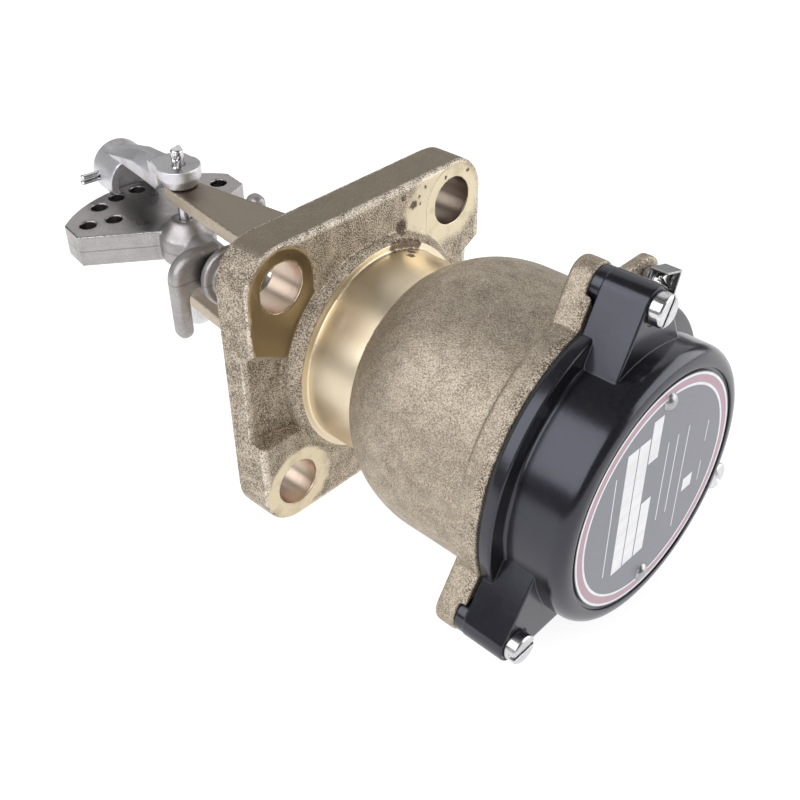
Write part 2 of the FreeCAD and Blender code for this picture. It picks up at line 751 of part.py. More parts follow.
def socket_tube():
    """Blind tube for the float rod, its closed end cut away in an arch that clears the sector plate."""
    mouth = PIVOT_X - SOCKET_R1
    back = PIVOT_X - SOCKET_R0
    inner = back + SOCKET_ARCH
    step = SECTOR_HALF_THK + ARCH_GAP
    low = SOCKET_Z - SOCKET_R - 1.0
    reach = SOCKET_R + 1.0
    floor = back - SOCKET_FLOOR
    tube = turned_x([(mouth, SOCKET_BORE_R, 0), (mouth, SOCKET_R - SOCKET_EDGE, 0), (mouth + SOCKET_EDGE, SOCKET_R, 0),
                     (inner, SOCKET_R, 0), (inner, 0, 0), (floor, 0, 0), (floor, SOCKET_BORE_R, 0)])
    tube.translate(V(0, 0, SOCKET_Z))
    arch = prism_y([(inner + 1.0, low, 0), (back, low, 0), (back, step, 0), (back + ARCH_FOOT, step, 0),
                    (inner - 0.6, ARM_Z0, 1.5), (inner + 1.0, ARM_Z0, 0)], -reach, reach)
    return tube.cut(arch)


def rod_cotter_x():
    return PIVOT_X - SOCKET_R1 + ROD_COTTER_IN


def float_lever():
    under = CLEVIS_TOP + RUN
    top = under + BOSS_THK
    p = PIVOT_X
    foot = Part.makeCone(BOSS_FOOT_R, BOSS_R, BOSS_THK - BOSS_EDGE, V(p, 0, under), Z_AXIS)
    boss = rod_z(BOSS_R, top - BOSS_EDGE, top, p).fuse(foot)
    bridge = prism_z([(p, -BOSS_R * 0.97, 0), (p, BOSS_R * 0.97, 0), (p - BOSS_REACH, ARM_HALF, 2.0),
                      (p - BOSS_REACH, -ARM_HALF, 2.0)], top - BOSS_EDGE, top)
    leg = prism_y([(p - LEG_R0, ARM_Z0 + 2.0, 0), (p - LEG_R0, top - 1.0, 0), (p - LEG_R1, top - 1.0, 0),
                   (p - LEG_R1, ARM_Z0, 0), (p - LEG_R0 - 2.0, ARM_Z0, 0)], -ARM_HALF, ARM_HALF)
    socket_top = SOCKET_Z + SOCKET_R
    arm = Part.makeLoft([arm_section(LEG_R0 + 2.0, ARM_HALF, ARM_Z0, ARM_Z1, top - 0.4),
                         arm_section(NECK_AT_R, ARM_HALF, ARM_Z0, ARM_Z1, NECK_Z),
                         arm_section(SOCKET_R0 + 2.0, ARM_END_HALF, ARM_Z0, ARM_Z0 + 0.3, socket_top - 0.1)], True, True)
    lever = join([boss, bridge, leg, arm, socket_tube()])
    x = rod_cotter_x()
    cross = rod(ROD_COTTER_HOLE_R + FIT, V(x, -SOCKET_R - 1.0, SOCKET_Z), V(x, SOCKET_R + 1.0, SOCKET_Z))
    lever = lever.cut([rod_z(PIN_R + FIT, under - 1.0, top + 1.0, p), cross])
    return swung(lever, -SWING_DEG, p)


def rod_split_pin():
    pin = split_pin(ROD_COTTER_HOLE_R, SOCKET_R, ROD_COTTER_TAIL)
    pin.rotate(V(0, 0, 0), Z_AXIS, 180)
    pin.translate(V(rod_cotter_x(), 0, SOCKET_Z))
    return swung(pin, -SWING_DEG, PIVOT_X)


# Switch mechanism

def contact_gap():
    """Half distance between the fixed contact faces."""
    reach = (ROCKER_TAIL - BRIDGE_W / 2.0 - ROCKER_X) * math.sin(math.radians(ROCKER_SWING_DEG))
    return reach + ROCKER_HALF_Y + BRIDGE_THK + 0.6


def mechanism_base():
    plate = rod_x(BASE_PLATE_R, BASE_PLATE_X, BASE_PLATE_X + BASE_PLATE_THK)
    ends = BASE_PLATE_R + 1.0
    plate = plate.common(box(BASE_PLATE_X, BASE_PLATE_X + BASE_PLATE_THK, -BASE_PLATE_HALF_Y, BASE_PLATE_HALF_Y, -ends, ends))
    cheeks = []
    for s in (-1, 1):
        z0, z1 = sorted((s * CHEEK_IN, s * (CHEEK_IN + CHEEK_THK)))
        cheeks.append(box(ROCKER_X - CHEEK_HALF, BASE_PLATE_X + 0.5, -CHEEK_HALF, CHEEK_HALF, z0, z1))
    base = join([plate] + cheeks)
    cuts = [box(BASE_PLATE_X - 1, BASE_PLATE_X + BASE_PLATE_THK + 1, -WINDOW_Y, WINDOW_Y, -CHEEK_IN, CHEEK_IN)]
    cuts.append(rod_z(ROCKER_PIN_R, -CHEEK_IN - CHEEK_THK - 1.0, CHEEK_IN + CHEEK_THK + 1.0, ROCKER_X))
    for s in (-1, 1):
        cuts.append(rod_x(FIX_SCREW_R + FIT, BASE_PLATE_X - 1, BASE_PLATE_X + BASE_PLATE_THK + 1, 0, s * PILLAR_Z))
    return base.cut(cuts)


def mechanism_screws():
    pair = []
    for s in (-1, 1):
        one = slotted_screw(FIX_SCREW_R, FIX_HEAD_R, FIX_HEAD_H, FIX_SCREW_LEN, FIX_SLOT_W)
        one.translate(V(BASE_PLATE_X + BASE_PLATE_THK, 0, s * PILLAR_Z))
        pair.append(one)
    return Part.makeCompound(pair)


def rocker_pin():
    half = CHEEK_IN + CHEEK_THK
    return rod_z(ROCKER_PIN_R, -half, half, ROCKER_X)


def magnet_back():
    return CARRIER_X1 - CARRIER_FLOOR


def magnet_rocker():
    hub = rod_z(ROCKER_HUB_R, -CHEEK_IN + RUN, CHEEK_IN - RUN, ROCKER_X)
    beam = box(CARRIER_X1 - 1, ROCKER_TAIL, -ROCKER_HALF_Y, ROCKER_HALF_Y, -ROCKER_HALF_Z, ROCKER_HALF_Z)
    carrier = rod_x(CARRIER_R, CARRIER_X0, CARRIER_X1)
    rocker = join([hub, beam, carrier])
    cuts = [rod_z(ROCKER_PIN_R + FIT, -CHEEK_IN, CHEEK_IN, ROCKER_X), rod_x(SWITCH_MAGNET_R, CARRIER_X0 - 1.0, magnet_back())]
    return swung(rocker.cut(cuts), -ROCKER_SWING_DEG, ROCKER_X)


def switch_magnet():
    bar = rod_x(SWITCH_MAGNET_R, SWITCH_MAGNET_X0, magnet_back())
    return swung(bar, -ROCKER_SWING_DEG, ROCKER_X)


def moving_contacts():
    """Bridge strips on both faces of the tail of the rocker."""
    pair = []
    for s in (-1, 1):
        y0, y1 = sorted((s * ROCKER_HALF_Y, s * (ROCKER_HALF_Y + BRIDGE_THK)))
        pair.append(box(ROCKER_TAIL - BRIDGE_W, ROCKER_TAIL, y0, y1, -BRIDGE_HALF_Z, BRIDGE_HALF_Z))
    return swung(Part.makeCompound(pair), -ROCKER_SWING_DEG, ROCKER_X)


def terminal_block():
    inner = contact_gap() + STRIP_THK
    foot = BASE_PLATE_X + BASE_PLATE_THK
    blocks = []
    for s in (-1, 1):
        y0, y1 = sorted((s * inner, s * (inner + BLOCK_DEPTH)))
        block = box(foot, BLOCK_TOP, y0, y1, -BLOCK_HALF_Z, BLOCK_HALF_Z)
        wall = box(BLOCK_TOP, BLOCK_TOP + BLOCK_WALL_H, y0, y1, -BLOCK_WALL_HALF, BLOCK_WALL_HALF)
        block = block.fuse(wall).cut([terminal_hole(s, t) for t in (-1, 1)])
        blocks.append(block)
    return Part.makeCompound(blocks)


def terminal_y():
    return contact_gap() + STRIP_THK + BLOCK_DEPTH * 0.5


def terminal_hole(side, row):
    return rod_x(TERMINAL_SCREW_R + FIT, BLOCK_TOP - TERMINAL_SCREW_LEN - TERMINAL_TIP_GAP, BLOCK_TOP + 1.0, side * terminal_y(), row * STRIP_Z)


def fixed_contacts():
    inner = contact_gap()
    strips = []
    for s, row in corner_signs():
        z0 = row * STRIP_Z - STRIP_W / 2.0
        z1 = row * STRIP_Z + STRIP_W / 2.0
        y0, y1 = sorted((s * inner, s * (inner + STRIP_THK)))
        upright = box(ROCKER_TAIL - BRIDGE_W - STRIP_LEAD, BLOCK_TOP + STRIP_THK, y0, y1, z0, z1)
        y0, y1 = sorted((s * inner, s * (inner + BLOCK_DEPTH)))
        top = box(BLOCK_TOP, BLOCK_TOP + STRIP_THK, y0, y1, z0, z1)
        strip = upright.fuse(top).cut(rod_x(TERMINAL_SCREW_R + FIT, BLOCK_TOP - 1.0, BLOCK_TOP + STRIP_THK + 1.0, s * terminal_y(), row * STRIP_Z))
        strips.append(strip)
    return Part.makeCompound(strips)


def terminal_screws():
    screws = []
    for s, row in corner_signs():
        one = slotted_screw(TERMINAL_SCREW_R, TERMINAL_HEAD_R, TERMINAL_HEAD_H, TERMINAL_SCREW_LEN, TERMINAL_SLOT_W)
        one.translate(V(BLOCK_TOP + STRIP_THK, s * terminal_y(), row * STRIP_Z))
        screws.append(one)
    return Part.makeCompound(screws)


PIECES = [
    ("body_casting", body_casting), ("cover", cover), ("cover_gasket", cover_gasket),
    ("label_plate", label_plate), ("label_rivets", label_rivets), ("cover_screws", cover_screws),
    ("earth_nut", earth_nut), ("earth_washers", earth_washers), ("earth_clamp", earth_clamp),
    ("earth_screw", earth_screw), ("pivot_pin", pivot_pin), ("pivot_split_pin", pivot_split_pin),
    ("magnet_arm", magnet_arm), ("float_magnet", float_magnet), ("float_lever", float_lever),
    ("rod_split_pin", rod_split_pin), ("mechanism_base", mechanism_base),
    ("mechanism_screws", mechanism_screws), ("rocker_pin", rocker_pin), ("magnet_rocker", magnet_rocker),
    ("switch_magnet", switch_magnet), ("moving_contacts", moving_contacts),
    ("terminal_block", terminal_block), ("fixed_contacts", fixed_contacts),
    ("terminal_screws", terminal_screws),
]

os.makedirs("parts", exist_ok=True)
for name, make in PIECES:
    shape = make()
    if not shape.isValid():
        raise ValueError(name + " is not a valid shape")
    print(name, round(shape.Volume, 1), len(shape.Solids), shape.BoundBox)
    shape.exportStep("parts/" + name + ".step")
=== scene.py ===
"""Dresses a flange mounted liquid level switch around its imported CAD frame."""

import json
import math

import bmesh
import bpy
import numpy as np
from bpy.props import FloatProperty, FloatVectorProperty, IntProperty, PointerProperty
from mathutils import Matrix, Vector, noise


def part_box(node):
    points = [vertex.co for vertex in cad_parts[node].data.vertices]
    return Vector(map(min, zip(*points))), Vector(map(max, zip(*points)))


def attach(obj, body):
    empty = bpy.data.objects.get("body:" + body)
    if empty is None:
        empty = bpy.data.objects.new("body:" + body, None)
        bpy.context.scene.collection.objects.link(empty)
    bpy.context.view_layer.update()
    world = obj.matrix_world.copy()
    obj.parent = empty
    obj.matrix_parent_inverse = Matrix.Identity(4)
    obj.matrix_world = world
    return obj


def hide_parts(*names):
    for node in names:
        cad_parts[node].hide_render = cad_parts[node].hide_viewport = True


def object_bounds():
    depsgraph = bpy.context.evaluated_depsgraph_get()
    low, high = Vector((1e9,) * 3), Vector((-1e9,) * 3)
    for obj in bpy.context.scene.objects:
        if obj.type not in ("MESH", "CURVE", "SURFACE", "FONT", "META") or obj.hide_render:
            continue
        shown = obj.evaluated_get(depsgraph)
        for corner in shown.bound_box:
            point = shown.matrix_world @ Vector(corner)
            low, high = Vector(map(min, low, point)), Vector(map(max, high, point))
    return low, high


bl_info = {
    "name": "Liquid level switch",
    "version": (1, 0, 0),
    "blender": (4, 5, 0),
    "location": "View3D > Sidebar > Level Switch",
    "description": "Builds the finished pieces of a flange mounted liquid level switch",
    "category": "Object",
}

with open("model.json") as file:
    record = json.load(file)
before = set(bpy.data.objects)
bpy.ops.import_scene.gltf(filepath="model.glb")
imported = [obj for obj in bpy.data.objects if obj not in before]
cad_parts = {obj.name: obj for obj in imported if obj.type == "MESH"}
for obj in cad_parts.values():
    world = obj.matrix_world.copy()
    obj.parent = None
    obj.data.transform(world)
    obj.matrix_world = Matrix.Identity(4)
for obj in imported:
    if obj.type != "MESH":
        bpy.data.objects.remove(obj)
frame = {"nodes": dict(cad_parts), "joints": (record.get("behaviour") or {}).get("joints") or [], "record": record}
CAD_BOX = [list(corner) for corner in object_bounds()]
NODES = frame["nodes"]
MM = 0.001
SHARP_ANGLE = math.radians(32.0)
MOUNTS = {mount["name"]: mount for mount in frame["record"]["mounts"]}
BOLT_HALF = MOUNTS["flange_bolts"]["dims"]["spacing_x_mm"] * MM / 2
BOLT_HOLE_R = MOUNTS["flange_bolts"]["dims"]["hole_r_mm"] * MM
LABEL_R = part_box("label_plate")[1].z
PIVOT = Vector(next(j for j in frame["joints"] if j["name"] == "arm_pivot")["pos_m"])


# Settings

def length(name, description, millimetres):
    return FloatProperty(name=name, description=description, default=millimetres * MM,
                         min=0.0, precision=5, unit="LENGTH")


def angle(name, description, degrees):
    return FloatProperty(name=name, description=description, default=math.radians(degrees), subtype="ANGLE")


def position(name, description, metres):
    return FloatVectorProperty(name=name, description=description, default=metres, size=3,
                               precision=5, subtype="TRANSLATION", unit="LENGTH")


def colour(name, description, rgb):
    return FloatVectorProperty(name=name, description=description, default=(*rgb, 1.0), size=4,
                               subtype="COLOR", min=0.0, max=1.0)


def share(name, description, default):
    return FloatProperty(name=name, description=description, default=default,
                         min=0.0, max=1.0, subtype="FACTOR")


def rounds(name, description, default):
    return IntProperty(name=name, description=description, default=default, min=0, max=40)


def number(name, description, default):
    return IntProperty(name=name, description=description, default=default, min=1)


class CastingSettings(bpy.types.PropertyGroup):
    """Gunmetal body casting."""

    grid: length("Skin grid", "Cell size of the remeshed skin", 0.46)
    rounding: rounds("Edge rounding", "Smoothing rounds on cast edges", 2)
    waviness: length("Waviness", "Height of the slow unevenness of sand cast faces", 0.16)
    seed: number("Seed", "Fixes the pattern of the unevenness", 1)
    keep: share("Kept triangles", "Share of the skin's triangles that is kept", 0.29)
    neck_start: length("Neck start", "Where the turned neck begins along the main axis", 15.7)
    neck_end: length("Neck end", "Where the turned neck ends along the main axis", 32.8)
    neck_radius: length("Neck radius", "Radius of the turned neck", 30.3)
    lip_radius: length("Lip radius", "Radius of the turned lip of the collar", 32.4)
    pad_drift: length("Pad drift", "How far the far upper pad runs from its hole along the top edge", 9.0)
    pad_radius: length("Pad radius", "Radius of the milled pads round the bolt holes", 11.8)
    pad_run: length("Pad run", "How far the near upper pad runs from its hole towards the recess", 13.0)
    recess_half: length("Recess half", "Half height of the recesses in the dry face", 22.0)
    recess_inside: length("Recess inside", "Inner edge of the recesses from the middle", 27.0)
    flange_face: length("Flange face", "Dry face of the flange along the main axis", 12.7)
    flange_half: length("Flange half", "Half the side of the square flange", 46.0)
    clevis_top: length("Clevis top", "Height of the milled faces of the clevis", 21.5)
    bowl_end: length("Bowl end", "Where the bowl meets the ring of the cover", 86.0)
    cast_dark: colour("Cast dark", "Darker tone of the blasted casting", (0.17, 0.14, 0.102))
    cast_light: colour("Cast light", "Lighter tone of the blasted casting", (0.65, 0.565, 0.455))
    turned: colour("Turned metal", "Bare machined gunmetal", (0.76, 0.655, 0.485))
    satin: colour("Milled satin", "Dull milled faces of the clevis", (0.21, 0.177, 0.139))
    pad_tone: colour("Pad tone", "Milled pads round the bolt holes", (0.66, 0.57, 0.405))
    # Painted shade on the whole near upper pad, and tarnish in random patches on every pad.
    pad_shade_and_tarnish: colour("Dull pad", "Tarnished pad of the near upper bolt hole", (0.24, 0.187, 0.115))
    bore: colour("Bore", "Drilled walls of the bolt holes", (0.62, 0.50, 0.40))
    stain: colour("Stain", "Oil stains near the upper bolt hole", (0.070, 0.040, 0.026))
    # Painted shade: this colour darkens the hollow corners of the casting, where shade falls.
    cast_crease_shade: colour("Cast dirt", "Dirt in the corners of the casting", (0.12, 0.095, 0.065))
    # Painted highlight: bright grains on the rounded edges of the flange.
    rim_glint: colour("Rim glint", "Bright grains on the rounded edges of the flange", (0.90, 0.83, 0.72))


class CoverSettings(bpy.types.PropertyGroup):
    """Black cover and its gasket."""

    base_radius: length("Base radius", "Radius of the ring that sits on the gasket", 43.8)
    base_thickness: length("Base thickness", "Thickness of that ring", 3.4)
    drum_radius: length("Drum radius", "Radius of the straight drum", 38.4)
    drum_round: length("Drum rounding", "Rounding of the drum's front edge", 4.0)
    drum_foot: length("Drum foot", "Fillet between the drum and the ring", 0.9)
    bed_gap: length("Bed gap", "Gap round the label plate", 0.85)
    wall: length("Wall", "Wall thickness of the cover", 2.5)
    lug_pitch: length("Lug pitch", "Distance of the screws from the main axis", 50.6)
    lug_tip: length("Lug tip", "Radius of a lug round its screw", 5.1)
    lug_flare: angle("Lug flare", "Half angle of a lug", 27.0)
    lug_front: length("Lug front", "Front of the lugs along the main axis", 102.2)
    lug_edge: length("Lug edge", "Rounding of the front edge of a lug", 0.8)
    foot_radius: length("Foot radius", "Radius of the feet behind the lugs", 4.9)
    seat_radius: length("Seat radius", "Radius of the screw head's seat", 4.7)
    seat_depth: length("Seat depth", "Depth of the screw head's seat", 0.5)
    edge_ease: length("Edge ease", "Radius of the paint's run in sharp corners", 0.45)
    lug_count: number("Lugs", "Number of lugs", 3)
    drum_sides: number("Drum sides", "Facets round the drum", 240)
    foot_sides: number("Foot sides", "Facets round a foot and round a screw head's seat", 48)
    paint: colour("Paint", "Satin black paint", (0.0065, 0.0065, 0.0085))
    dust: colour("Dust", "Settled dust", (0.16, 0.155, 0.15))
    rubber: colour("Gasket", "Gasket rubber", (0.018, 0.018, 0.019))
    # Painted highlight as well as wear: lighter paint on the convex edges.
    worn_sheen: colour("Worn paint", "Paint worn thin on edges", (0.06, 0.06, 0.065))
    bloom: colour("Rubber bloom", "Paler bloom on the gasket", (0.04, 0.039, 0.038))


class LabelSettings(bpy.types.PropertyGroup):
    """Blank label plate."""

    field: colour("Field", "Grey printed field", (0.165, 0.166, 0.195))
    border: colour("Border", "Dusty red border ring", (0.41, 0.26, 0.31))
    blank: colour("Blank metal", "Bare fields, rules and thin rings", (0.80, 0.80, 0.82))
    # Painted shadow: dark outermost ring of the plate, for the shadow in the gap round it.
    edge: colour("Edge", "Dark cut edge of the plate", (0.03, 0.03, 0.034))
    brushed: colour("Brushed metal", "Darker streaks in the bare metal", (0.60, 0.60, 0.62))
    dust: colour("Dust", "Settled dust", (0.62, 0.61, 0.60))


class SteelSettings(bpy.types.PropertyGroup):
    """Stainless wet parts and plated fixings."""

    arm_grid: length("Arm grid", "Cell size of the remeshed magnet arm", 0.45)
    lever_grid: length("Lever grid", "Cell size of the remeshed float lever", 0.36)
    fixing_grid: length("Fixing grid", "Cell size of remeshed screws, nuts and washers", 0.16)
    arm: colour("Arm steel", "Satin steel of the magnet arm", (0.47, 0.445, 0.44))
    lever: colour("Lever steel", "Fine cast steel of the float lever", (0.78, 0.77, 0.79))
    arm_rounding: rounds("Arm rounding", "Smoothing rounds on the magnet arm", 3)
    lever_rounding: rounds("Lever rounding", "Smoothing rounds on the float lever", 4)
    turned_rounding: rounds("Turned rounding", "Smoothing rounds on the cover screws and the pivot pin", 2)
    terminal_rounding: rounds("Terminal rounding", "Smoothing rounds on the earth terminal", 1)
    hollow_sides: number("Hollow sides", "Facets round the hollow in the rod socket", 64)
    hollow_radius: length("Hollow radius", "Radius of the hollow in the inner end of the rod socket", 7.5)
    hollow_start: length("Hollow start", "Bottom of that hollow from the pivot", 43.0)
    hollow_end: length("Hollow end", "Open end of that hollow from the pivot", 31.5)
    rod_reach: length("Rod reach", "Distance of the rod socket's split pin from the pivot", 46.4)
    lever_turn: angle("Lever turn", "Turn of the lever at rest", -9.0)
    pin_grid: length("Pin grid", "Cell size of the remeshed pivot pin", 0.24)
    cotter_turn: angle("Cotter turn", "Turn of the pivot pin's split pin", -134.0)
    plated: colour("Plated steel", "Bright plated screws", (0.74, 0.74, 0.75))
    # Also painted shade: besides the film, this colour darkens hollow corners, level faces and drilled holes.
    tarnish_and_shade: colour("Tarnish", "Darker film on steel", (0.20, 0.19, 0.185))


class MechanismSettings(bpy.types.PropertyGroup):
    """Switch mechanism inside the bowl."""

    moulding: colour("Moulding", "Brown phenolic moulding", (0.085, 0.040, 0.022))
    moulding_fleck: colour("Moulding fleck", "Filler flecks in the moulding", (0.17, 0.095, 0.055))
    brass: colour("Contact brass", "Brass strips", (0.66, 0.47, 0.17))
    # Also painted shade in the hollow corners of the strips.
    brass_dark: colour("Dark brass", "Tarnish on the brass strips", (0.20, 0.13, 0.05))
    magnet: colour("Magnet", "Cast magnet alloy", (0.22, 0.215, 0.21))


class StageSettings(bpy.types.PropertyGroup):
    """Floor, lights and camera."""

    floor: colour("Floor", "Pale studio floor", (0.93, 0.93, 0.93))
    floor_drop: length("Floor drop", "Gap between the lowest point and the floor", 0.2)
    floor_radius: length("Floor radius", "Radius of the round floor sheet", 850.0)
    floor_glow: share("Floor glow", "Light that the floor sheet gives off", 0.85)
    floor_dim: share("Floor in reflections", "Share of that light seen in reflections", 1.0)
    floor_bounce: share("Floor bounce", "Share of the floor's colour that throws light back", 0.45)
    studio_dark: share("Studio walls", "Brightness of the dim studio round the stage", 0.15)
    camera_place: position("Camera place", "Where the camera stands", (0.207806, -0.192990, 0.185804))
    camera_aim: position("Camera aim", "Point on the camera's axis", (0.044190, -0.033070, 0.009172))
    camera_roll: angle("Camera roll", "Turn about the camera's axis", -1.62)
    lens: FloatProperty(name="Lens", description="Focal length in millimetres on a 36 mm sensor",
                        default=50.23, min=1.0)
    shift: FloatVectorProperty(name="Shift", description="Camera shift that frames the object",
                               default=(0.0343, 0.0153), size=2)


# Node building

class Wiring:
    """Adds nodes to one tree. An input given as a socket is linked, any other value is set."""

    def __init__(self, tree):
        self.tree = tree

    def add(self, kind, inputs=None, **settings):
        node = self.tree.nodes.new(kind)
        for key, value in settings.items():
            setattr(node, key, value)
        for key, value in (inputs or {}).items():
            if isinstance(value, bpy.types.NodeSocket):
                self.tree.links.new(value, node.inputs[key])
            else:
                node.inputs[key].default_value = value
        return node

    def math(self, operation, *values):
        return self.add("ShaderNodeMath", dict(enumerate(values)), operation=operation).outputs[0]

    def remap(self, value, low, high, out_low=0.0, out_high=1.0):
        inputs = {"Value": value, "From Min": low, "From Max": high, "To Min": out_low, "To Max": out_high}
        return self.add("ShaderNodeMapRange", inputs, interpolation_type="SMOOTHSTEP").outputs["Result"]

    def band(self, value, low, high, soft):
        """1 between low and high, with soft edges."""
        rise = self.remap(value, low - soft, low + soft)
        fall = self.remap(value, high - soft, high + soft, 1.0, 0.0)
        return self.math("MULTIPLY", rise, fall)

    def times(self, *values):
        total = values[0]
        for value in values[1:]:
            total = self.math("MULTIPLY", total, value)
        return total

    def clamp(self, value, low):
        """Value kept between low and zero."""
        return self.add("ShaderNodeClamp", {"Value": value, "Min": low, "Max": 0.0}).outputs[0]

    def most(self, *masks):
        total = masks[0]
        for mask in masks[1:]:
            total = self.math("MAXIMUM", total, mask)
        return total

    def mix(self, a, b, factor):
        return self.add("ShaderNodeMix", {0: factor, 6: a, 7: b}, data_type="RGBA").outputs[2]

    def mix_value(self, a, b, factor):
        return self.add("ShaderNodeMix", {0: factor, 2: a, 3: b}, data_type="FLOAT").outputs[0]

    def place(self):
        """Object coordinates as (vector, x, y, z)."""
        vector = self.add("ShaderNodeTexCoord").outputs["Object"]
        parts = self.add("ShaderNodeSeparateXYZ", {"Vector": vector}).outputs
        return vector, parts[0], parts[1], parts[2]

    def facing(self):
        """Parts x, y and z of the face's own normal."""
        normal = self.add("ShaderNodeNewGeometry").outputs["True Normal"]
        return self.add("ShaderNodeSeparateXYZ", {"Vector": normal}).outputs

    def stretch(self, vector, scale):
        return self.add("ShaderNodeVectorMath", {0: vector, 1: scale}, operation="MULTIPLY").outputs[0]

    def noise(self, vector, scale, detail=2.0, roughness=0.5):
        inputs = {"Vector": vector, "Scale": scale, "Detail": detail, "Roughness": roughness}
        return self.add("ShaderNodeTexNoise", inputs).outputs["Fac"]

    def sway(self, vector, height, *grain):
        """Noise about zero of the given height."""
        return self.times(self.math("SUBTRACT", self.noise(vector, *grain), 0.5), height)

    def distance(self, a, b):
        """Length of the two sided step (a, b)."""
        return self.math("SQRT", self.math("ADD", self.times(a, a), self.times(b, b)))


def toned(rgb, factor):
    """Lighter or darker colour."""
    return tuple(min(1.0, factor * c) for c in rgb[:3]) + (1.0,)


def shared_group(name, inputs, outputs, build):
    """Node group made once. build(wiring, inputs) gives its outputs by name."""
    found = bpy.data.node_groups.get(name)
    if found:
        return found
    tree = bpy.data.node_groups.new(name, "ShaderNodeTree")
    for key, default in inputs.items():
        kind = "NodeSocketFloat" if isinstance(default, float) else "NodeSocketVector"
        tree.interface.new_socket(key, in_out="INPUT", socket_type=kind).default_value = default
    for key in outputs:
        tree.interface.new_socket(key, in_out="OUTPUT", socket_type="NodeSocketFloat")
    wiring = Wiring(tree)
    results = build(wiring, wiring.add("NodeGroupInput").outputs)
    wiring.add("NodeGroupOutput", results)
    return tree


def grit_group():
    """Blasted or cast grain: a height and a tone mask."""
    def build(w, inputs):
        vector = w.place()[0]
        fine = w.noise(vector, inputs["Scale"], 3.0, 0.65)
        cells = {"Vector": vector, "Scale": w.times(inputs["Scale"], 0.8)}
        pits = w.add("ShaderNodeTexVoronoi", cells, feature="SMOOTH_F1").outputs["Distance"]
        slow = w.noise(vector, w.times(inputs["Scale"], 0.09), 3.0, 0.6)
        height = w.math("ADD", fine, w.times(pits, 0.6))
        tone = w.math("ADD", w.times(fine, 0.78), w.times(slow, 0.22))
        return {"Height": height, "Tone": w.remap(tone, 0.36, 0.64)}
    return shared_group("Grit", {"Scale": 1500.0}, ("Height", "Tone"), build)


def edge_group():
    """Masks of convex edges, for wear and painted highlight, and of hollow corners, for painted shade, from the
    curve of the mesh.
    """
    def build(w, inputs):
        curve = w.add("ShaderNodeNewGeometry").outputs["Pointiness"]
        flat = 0.5
        worn_sheen = w.remap(curve, w.math("ADD", flat, inputs["Start"]), w.math("ADD", flat, inputs["Full"]))
        hollow = w.math("SUBTRACT", flat, inputs["Full"]), w.math("SUBTRACT", flat, inputs["Start"])
        return {"Worn_sheen": worn_sheen, "Crease_shade": w.remap(curve, *hollow, 1.0, 0.0)}
    return shared_group("Edges", {"Start": 0.01, "Full": 0.08}, ("Worn_sheen", "Crease_shade"), build)


def brushed_group():
    """Fine parallel tool lines: noise drawn out by Stretch."""
    def build(w, inputs):
        vector = w.stretch(w.place()[0], inputs["Stretch"])
        lines = w.noise(vector, 1.0, 4.0, 0.6)
        broad = w.noise(w.stretch(vector, (0.12, 0.12, 0.12)), 1.0, 2.0, 0.5)
        both = w.math("ADD", w.times(lines, 0.5), w.times(broad, 0.5))
        return {"Lines": lines, "Streak": w.remap(both, 0.35, 0.65)}
    return shared_group("Brushed", {"Stretch": (4000.0, 200.0, 200.0)}, ("Lines", "Streak"), build)


def specks_group():
    """Sparse small specks of dust, as a mask."""
    def build(w, inputs):
        vector = w.place()[0]
        cells = w.add("ShaderNodeTexVoronoi", {"Vector": vector, "Scale": inputs["Scale"]}, feature="F1")
        dots = w.remap(cells.outputs["Distance"], 0.03, 0.11, 1.0, 0.0)
        clouds = w.noise(vector, w.times(inputs["Scale"], 0.21), 2.0)
        chosen = w.remap(clouds, w.math("SUBTRACT", 1.0, inputs["Amount"]), 1.0)
        return {"Mask": w.times(dots, chosen)}
    return shared_group("Specks", {"Scale": 420.0, "Amount": 0.5}, ("Mask",), build)


class Finish(Wiring):
    """A material with its own Principled BSDF and one bump."""

    def __init__(self, name, **fixed):
        self.material = bpy.data.materials.new(name)
        self.material.use_nodes = True
        super().__init__(self.material.node_tree)
        self.tree.nodes.clear()
        self.shader = self.add("ShaderNodeBsdfPrincipled")
        self.add("ShaderNodeOutputMaterial", {"Surface": self.shader.outputs[0]})
        for key, value in fixed.items():
            self.shader.inputs[key.replace("_", " ")].default_value = value

    def group(self, tree, **values):
        node = self.tree.nodes.new("ShaderNodeGroup")
        node.node_tree = tree
        for key, value in values.items():
            node.inputs[key].default_value = value
        return node.outputs

    def feed(self, key, socket):
        self.tree.links.new(socket, self.shader.inputs[key])

    def bump(self, height, depth, strength=1.0, normal=None):
        node = self.add("ShaderNodeBump", {"Height": height, "Distance": depth, "Strength": strength})
        if normal:
            self.tree.links.new(normal, node.inputs["Normal"])
        self.feed("Normal", node.outputs["Normal"])


# Finishes

# Oil stains of the casting as (x, y, z, radius) in millimetres
STAINS = (
    (15.9, 5.0, 31.2, 2.2), (15.9, 7.4, 30.9, 2.1), (15.9, 9.6, 30.3, 2.3), (15.9, 12.0, 29.5, 2.5),
    (15.9, 14.6, 28.3, 2.3), (18.4, 9.4, 28.8, 1.7), (20.4, 6.8, 29.5, 1.5), (13.6, 11.2, 34.0, 3.0),
    (12.3, 16.2, 38.9, 1.9), (12.3, 12.3, 42.3, 1.2), (12.3, 18.6, 40.6, 0.9), (12.3, 18.8, 38.4, 0.7),
    (12.3, 21.2, 42.6, 0.8), (12.3, 30.7, 41.9, 0.8), (12.3, 40.4, 41.0, 0.9))


